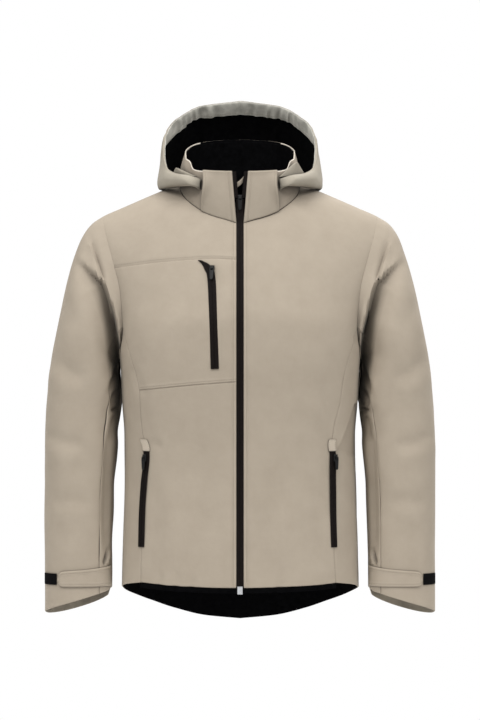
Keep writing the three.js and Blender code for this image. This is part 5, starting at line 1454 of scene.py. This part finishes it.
def pocketZip(side):
    # a straight tape over the front seam
    word, us = sideWords[side], np.linspace(0, 1, 17)
    z = np.linspace(zips["pocketBottom"], zips["pocketTop"], 90)[:, None]
    tape = tapeShell(f"tape_pocket_{word}", alongFrontSeam(z, us, zips["pocketWidth"], side), f"pocket_zip_{word}",
                     zips["surfaceLift"] + tapeAcross(us, zips["pocketWidth"]), away=(0, 0, -550),
                     thickness=zips["surfaceThickness"])
    return zipCoil(*middleLine(tape))


def pocketGarage(side):
    # the small cloth cover above a pocket's slider, paler than the shell as painted light, with the fleece's black on
    # its top edge's strip as a painted shadow line
    word = sideWords[side]
    us = stopsAlong(garage["width"], garage["step"], "free", "free")
    vs = stopsAlong(garage["height"], garage["step"], "free", "free")
    z = mix(zips["pocketTop"] + garage["gap"], garage["topZ"], vs)[:, None]
    panel = clothShell(f"cloth_pocket_garage_{word}", alongFrontSeam(z, us, garage["width"], side), allFree,
                       torso["insideSide"], thickness=garage["thickness"], relief=garage["lift"],
                       darkEdges=("top",), finishes=("garageLitShell", "fleece"))
    dress(panel["piece"], [f"pocket_garage_{word}"])
    panels[f"garage_{word}"] = panel


chin = {"path": [(11.6, -72.3, 9), (8, -72.9, 3), (1, -74, -5), (-8.5, -75, -12)], "width": 9, "lean": 1.2,
        "thickness": 1.4, "inside": (0, 0, -10)}


def chinGuard():
    # a strip carried straight down from a curve that sweeps from the right front edge behind the opening
    us, vs = stopsAlong(32, 1.0, "free", "free"), stopsAlong(chin["width"], 0.8, "free", "free")
    u, v = np.meshgrid(mix(0.02, 0.98, us), vs)
    points = splineThrough(chin["path"], u)
    points[..., 1] += v * chin["lean"]
    points[..., 2] -= v * chin["width"]
    panel = clothShell("cloth_chin_guard", points, allFree, chin["inside"], thickness=chin["thickness"],
                       finishes=("shell", "shell"))
    dress(panel["piece"], ["chin_guard"])


coils = [mainZip(), openEnd(1), openEnd(-1), chestZip()]
for side in sideWords:
    coils.append(pocketZip(side))
    pocketGarage(side)
addBeads("zip_coils", coils, "coil")
chinGuard()
print("zips made")


# Stitching: rows of short beads of thread, sunk at both ends

def lineAt(panel, edge, distance, bare):
    # the line on a panel's face at this distance from one of its edges, with this share left off at both ends
    points, normals, away = panel["outer"], panel["normals"], panel["distances"][edge]
    if edge in ("bottom", "top"):
        points, normals, away = points.swapaxes(0, 1), normals.swapaxes(0, 1), away.T
    if edge in ("right", "top"):
        points, normals, away = points[:, ::-1], normals[:, ::-1], away[:, ::-1]
    rows = np.arange(len(away))
    k = np.clip((away < distance).sum(axis=1), 1, away.shape[1] - 1)
    t = clamp01((distance - away[rows, k - 1]) / np.maximum(away[rows, k] - away[rows, k - 1], 1e-6))[:, None]
    low, high = int(bare * (len(rows) - 1)), int((1 - bare) * (len(rows) - 1)) + 1
    line = mix(points[rows, k - 1], points[rows, k], t)[low:high]
    return line, mix(normals[rows, k - 1], normals[rows, k], t)[low:high]


# stitch sizes, and how far each row lies from its edge
stitch = {"pitch": 3.0, "length": 2.2, "radius": 0.24, "zipRow": 5.0, "topRow": 4.4, "garageRow": 1.6,
          "facingDepth": 1.5, "bareShare": 0.03}


def stitches(line, normals):
    # one bead a stitch: a tube of four sides along the row, thin and sunk at both ends
    places, along, up = resample(line, normals, stitch["pitch"])
    side = np.cross(along, up)
    stops = np.array([-0.5, -0.25, 0.25, 0.5]) * stitch["length"]
    radii, height = np.array([0.3, 1, 1, 0.3]) * stitch["radius"], np.array([-0.2, 0.12, 0.12, -0.2])
    spine = places[:, None] + along[:, None] * stops[None, :, None] + up[:, None] * height[None, :, None]
    ring = np.radians(np.arange(4) * 90 + 45)
    circle = np.cos(ring)[:, None] * up[:, None, None] + np.sin(ring)[:, None] * side[:, None, None]
    return spine[:, :, None] + circle * radii[None, :, None, None]


seamRows = [(name, "left", "zipRow") for name in ("front_left", "front_right_lower", "front_right_chest",
                                                  "front_right_yoke")]
seamRows += [("front_right_yoke", "bottom", "topRow"), ("front_right_chest", "bottom", "topRow")]
for word in sideWords.values():
    seamRows += [(f"tab_{word}", edge, "topRow") for edge in ("bottom", "top", "left")]
    seamRows += [(f"flap_{word}", "left", "topRow"), (f"flap_{word}", "right", "zipRow"),
                 (f"flap_{word}", "top", "topRow")]
    seamRows += [(f"hood_{word}", "top", "topRow"), (f"hood_{word}", "left", "topRow"),
                 (f"facing_{word}", "bottom", "topRow")]
    seamRows += [(f"garage_{word}", edge, "garageRow") for edge in ("left", "right", "top")]
threadRows = []
for name, edge, row in seamRows:
    line, normals = lineAt(panels[name], edge, stitch[row], stitch["bareShare"])
    if name.startswith("facing"):  # seen on its inner face
        normals = -normals
        line = line + normals * stitch["facingDepth"]
    threadRows.append(stitches(line, normals))
addBeads("stitching_shell", threadRows, "thread")
print("stitching made")


# Hard parts: the CAD's sliders, tabs and box keep their shapes and take a finish

finishOf = {"zip_box": "metal"}
for word in ("main", "chest", "pocket_left", "pocket_right"):
    finishOf[f"{word}_slider"] = finishOf[f"{word}_pull"] = "coat"
for node, finish in finishOf.items():
    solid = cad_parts[node]
    solid.data.materials.clear()
    solid.data.materials.append(materials[finish])


# Floor, light and camera

studio = {
    "floorZ": -1.06, "floorRadius": 0.97, "floorColour": (0.80, 0.80, 0.795),
    "floorSides": 64,
    # world brightness by the height of the direction looked in, from straight down to straight up
    "world": [(-1, 0.25), (-0.3, 0.35), (-0.16, 1.0), (0.16, 1.0), (0.28, 0.3), (0.6, 0.3), (0.85, 1.3),
              (1, 1.5)],
    "target": (0, 0, -0.3),
    "boxes": [{"name": "key", "place": (-1.5, -2.0, 2.5), "size": 1.2, "power": 66},
              {"name": "fill", "place": (1.7, -2.0, 2.4), "size": 1.2, "power": 57},
              {"name": "rear", "place": (1.5, 2.3, 2.1), "size": 1.0, "power": 42}],
}


def makeStage():  # a round pale floor under the jacket
    sides, place = studio["floorSides"], studio["floorRadius"]
    turns = np.radians(np.arange(sides) * 360 / sides)
    rim = np.stack([np.cos(turns) * place, np.sin(turns) * place, np.full(sides, studio["floorZ"])], -1)
    mesh = bpy.data.meshes.new("floor")
    mesh.from_pydata(rim.tolist(), [], [list(range(sides))])
    material, nodes, links, shader = newMaterial("paleFloor", {"Roughness": 0.9, "Specular IOR Level": 0.1})
    look = {"low": studio["floorColour"], "high": tuple(part + 0.01 for part in studio["floorColour"])}
    mottledColour(nodes, links, objectPlace(nodes), shader, look, 2)
    mesh.materials.append(material)
    floor = bpy.data.objects.new("floor", mesh)
    scene.collection.objects.link(floor)


def makeLight():
    # a world whose brightness follows a curve of the direction's height, and three soft boxes
    world = bpy.data.worlds.new("studio")
    world.use_nodes = True
    nodes, links = world.node_tree.nodes, world.node_tree.links
    height = addNode(nodes, "ShaderNodeSeparateXYZ")
    links.new(addNode(nodes, "ShaderNodeTexCoord").outputs["Generated"], height.inputs["Vector"])
    curve = addNode(nodes, "ShaderNodeFloatCurve")
    spread = addNode(nodes, "ShaderNodeMapRange", {"From Min": -1, "From Max": 1})
    links.new(height.outputs["Z"], spread.inputs["Value"])
    line = curve.mapping.curves[0]
    while len(line.points) < len(studio["world"]):
        line.points.new(0.5, 0.5)
    for point, (z, strength) in zip(line.points, studio["world"]):
        point.location = ((z + 1) / 2, strength / 2)
        point.handle_type = "VECTOR"
    curve.mapping.update()
    links.new(spread.outputs["Result"], curve.inputs["Value"])
    double = addNode(nodes, "ShaderNodeMath", {1: 2.0}, operation="MULTIPLY")
    links.new(curve.outputs["Value"], double.inputs[0])
    background = nodes["Background"]
    background.inputs["Color"].default_value = (1, 1, 1, 1)
    links.new(double.outputs[0], background.inputs["Strength"])
    scene.world = world
    for box in studio["boxes"]:
        light = bpy.data.lights.new(box["name"], "AREA")
        light.size, light.energy = box["size"], box["power"]
        lamp = bpy.data.objects.new(box["name"], light)
        lamp.location = box["place"]
        lamp.rotation_euler = (Vector(studio["target"]) - lamp.location).to_track_quat("-Z", "Y").to_euler()
        scene.collection.objects.link(lamp)


# metres: how far in front, how high, and half the picture's height at the jacket's middle
view = {"distance": 4.75, "height": -0.3102, "halfFrame": 0.6192}


def makeCamera():  # level, straight in front
    data = bpy.data.cameras.new("camera")
    data.sensor_fit = "VERTICAL"
    data.angle = 2 * math.atan(view["halfFrame"] / view["distance"])
    camera = bpy.data.objects.new("camera", data)
    camera.location = (0, -view["distance"], view["height"])
    camera.rotation_euler = (math.pi / 2, 0, 0)
    scene.collection.objects.link(camera)
    scene.camera = camera
    scene.view_settings.view_transform = "Standard"


makeStage()
makeLight()
makeCamera()
print("stage made")
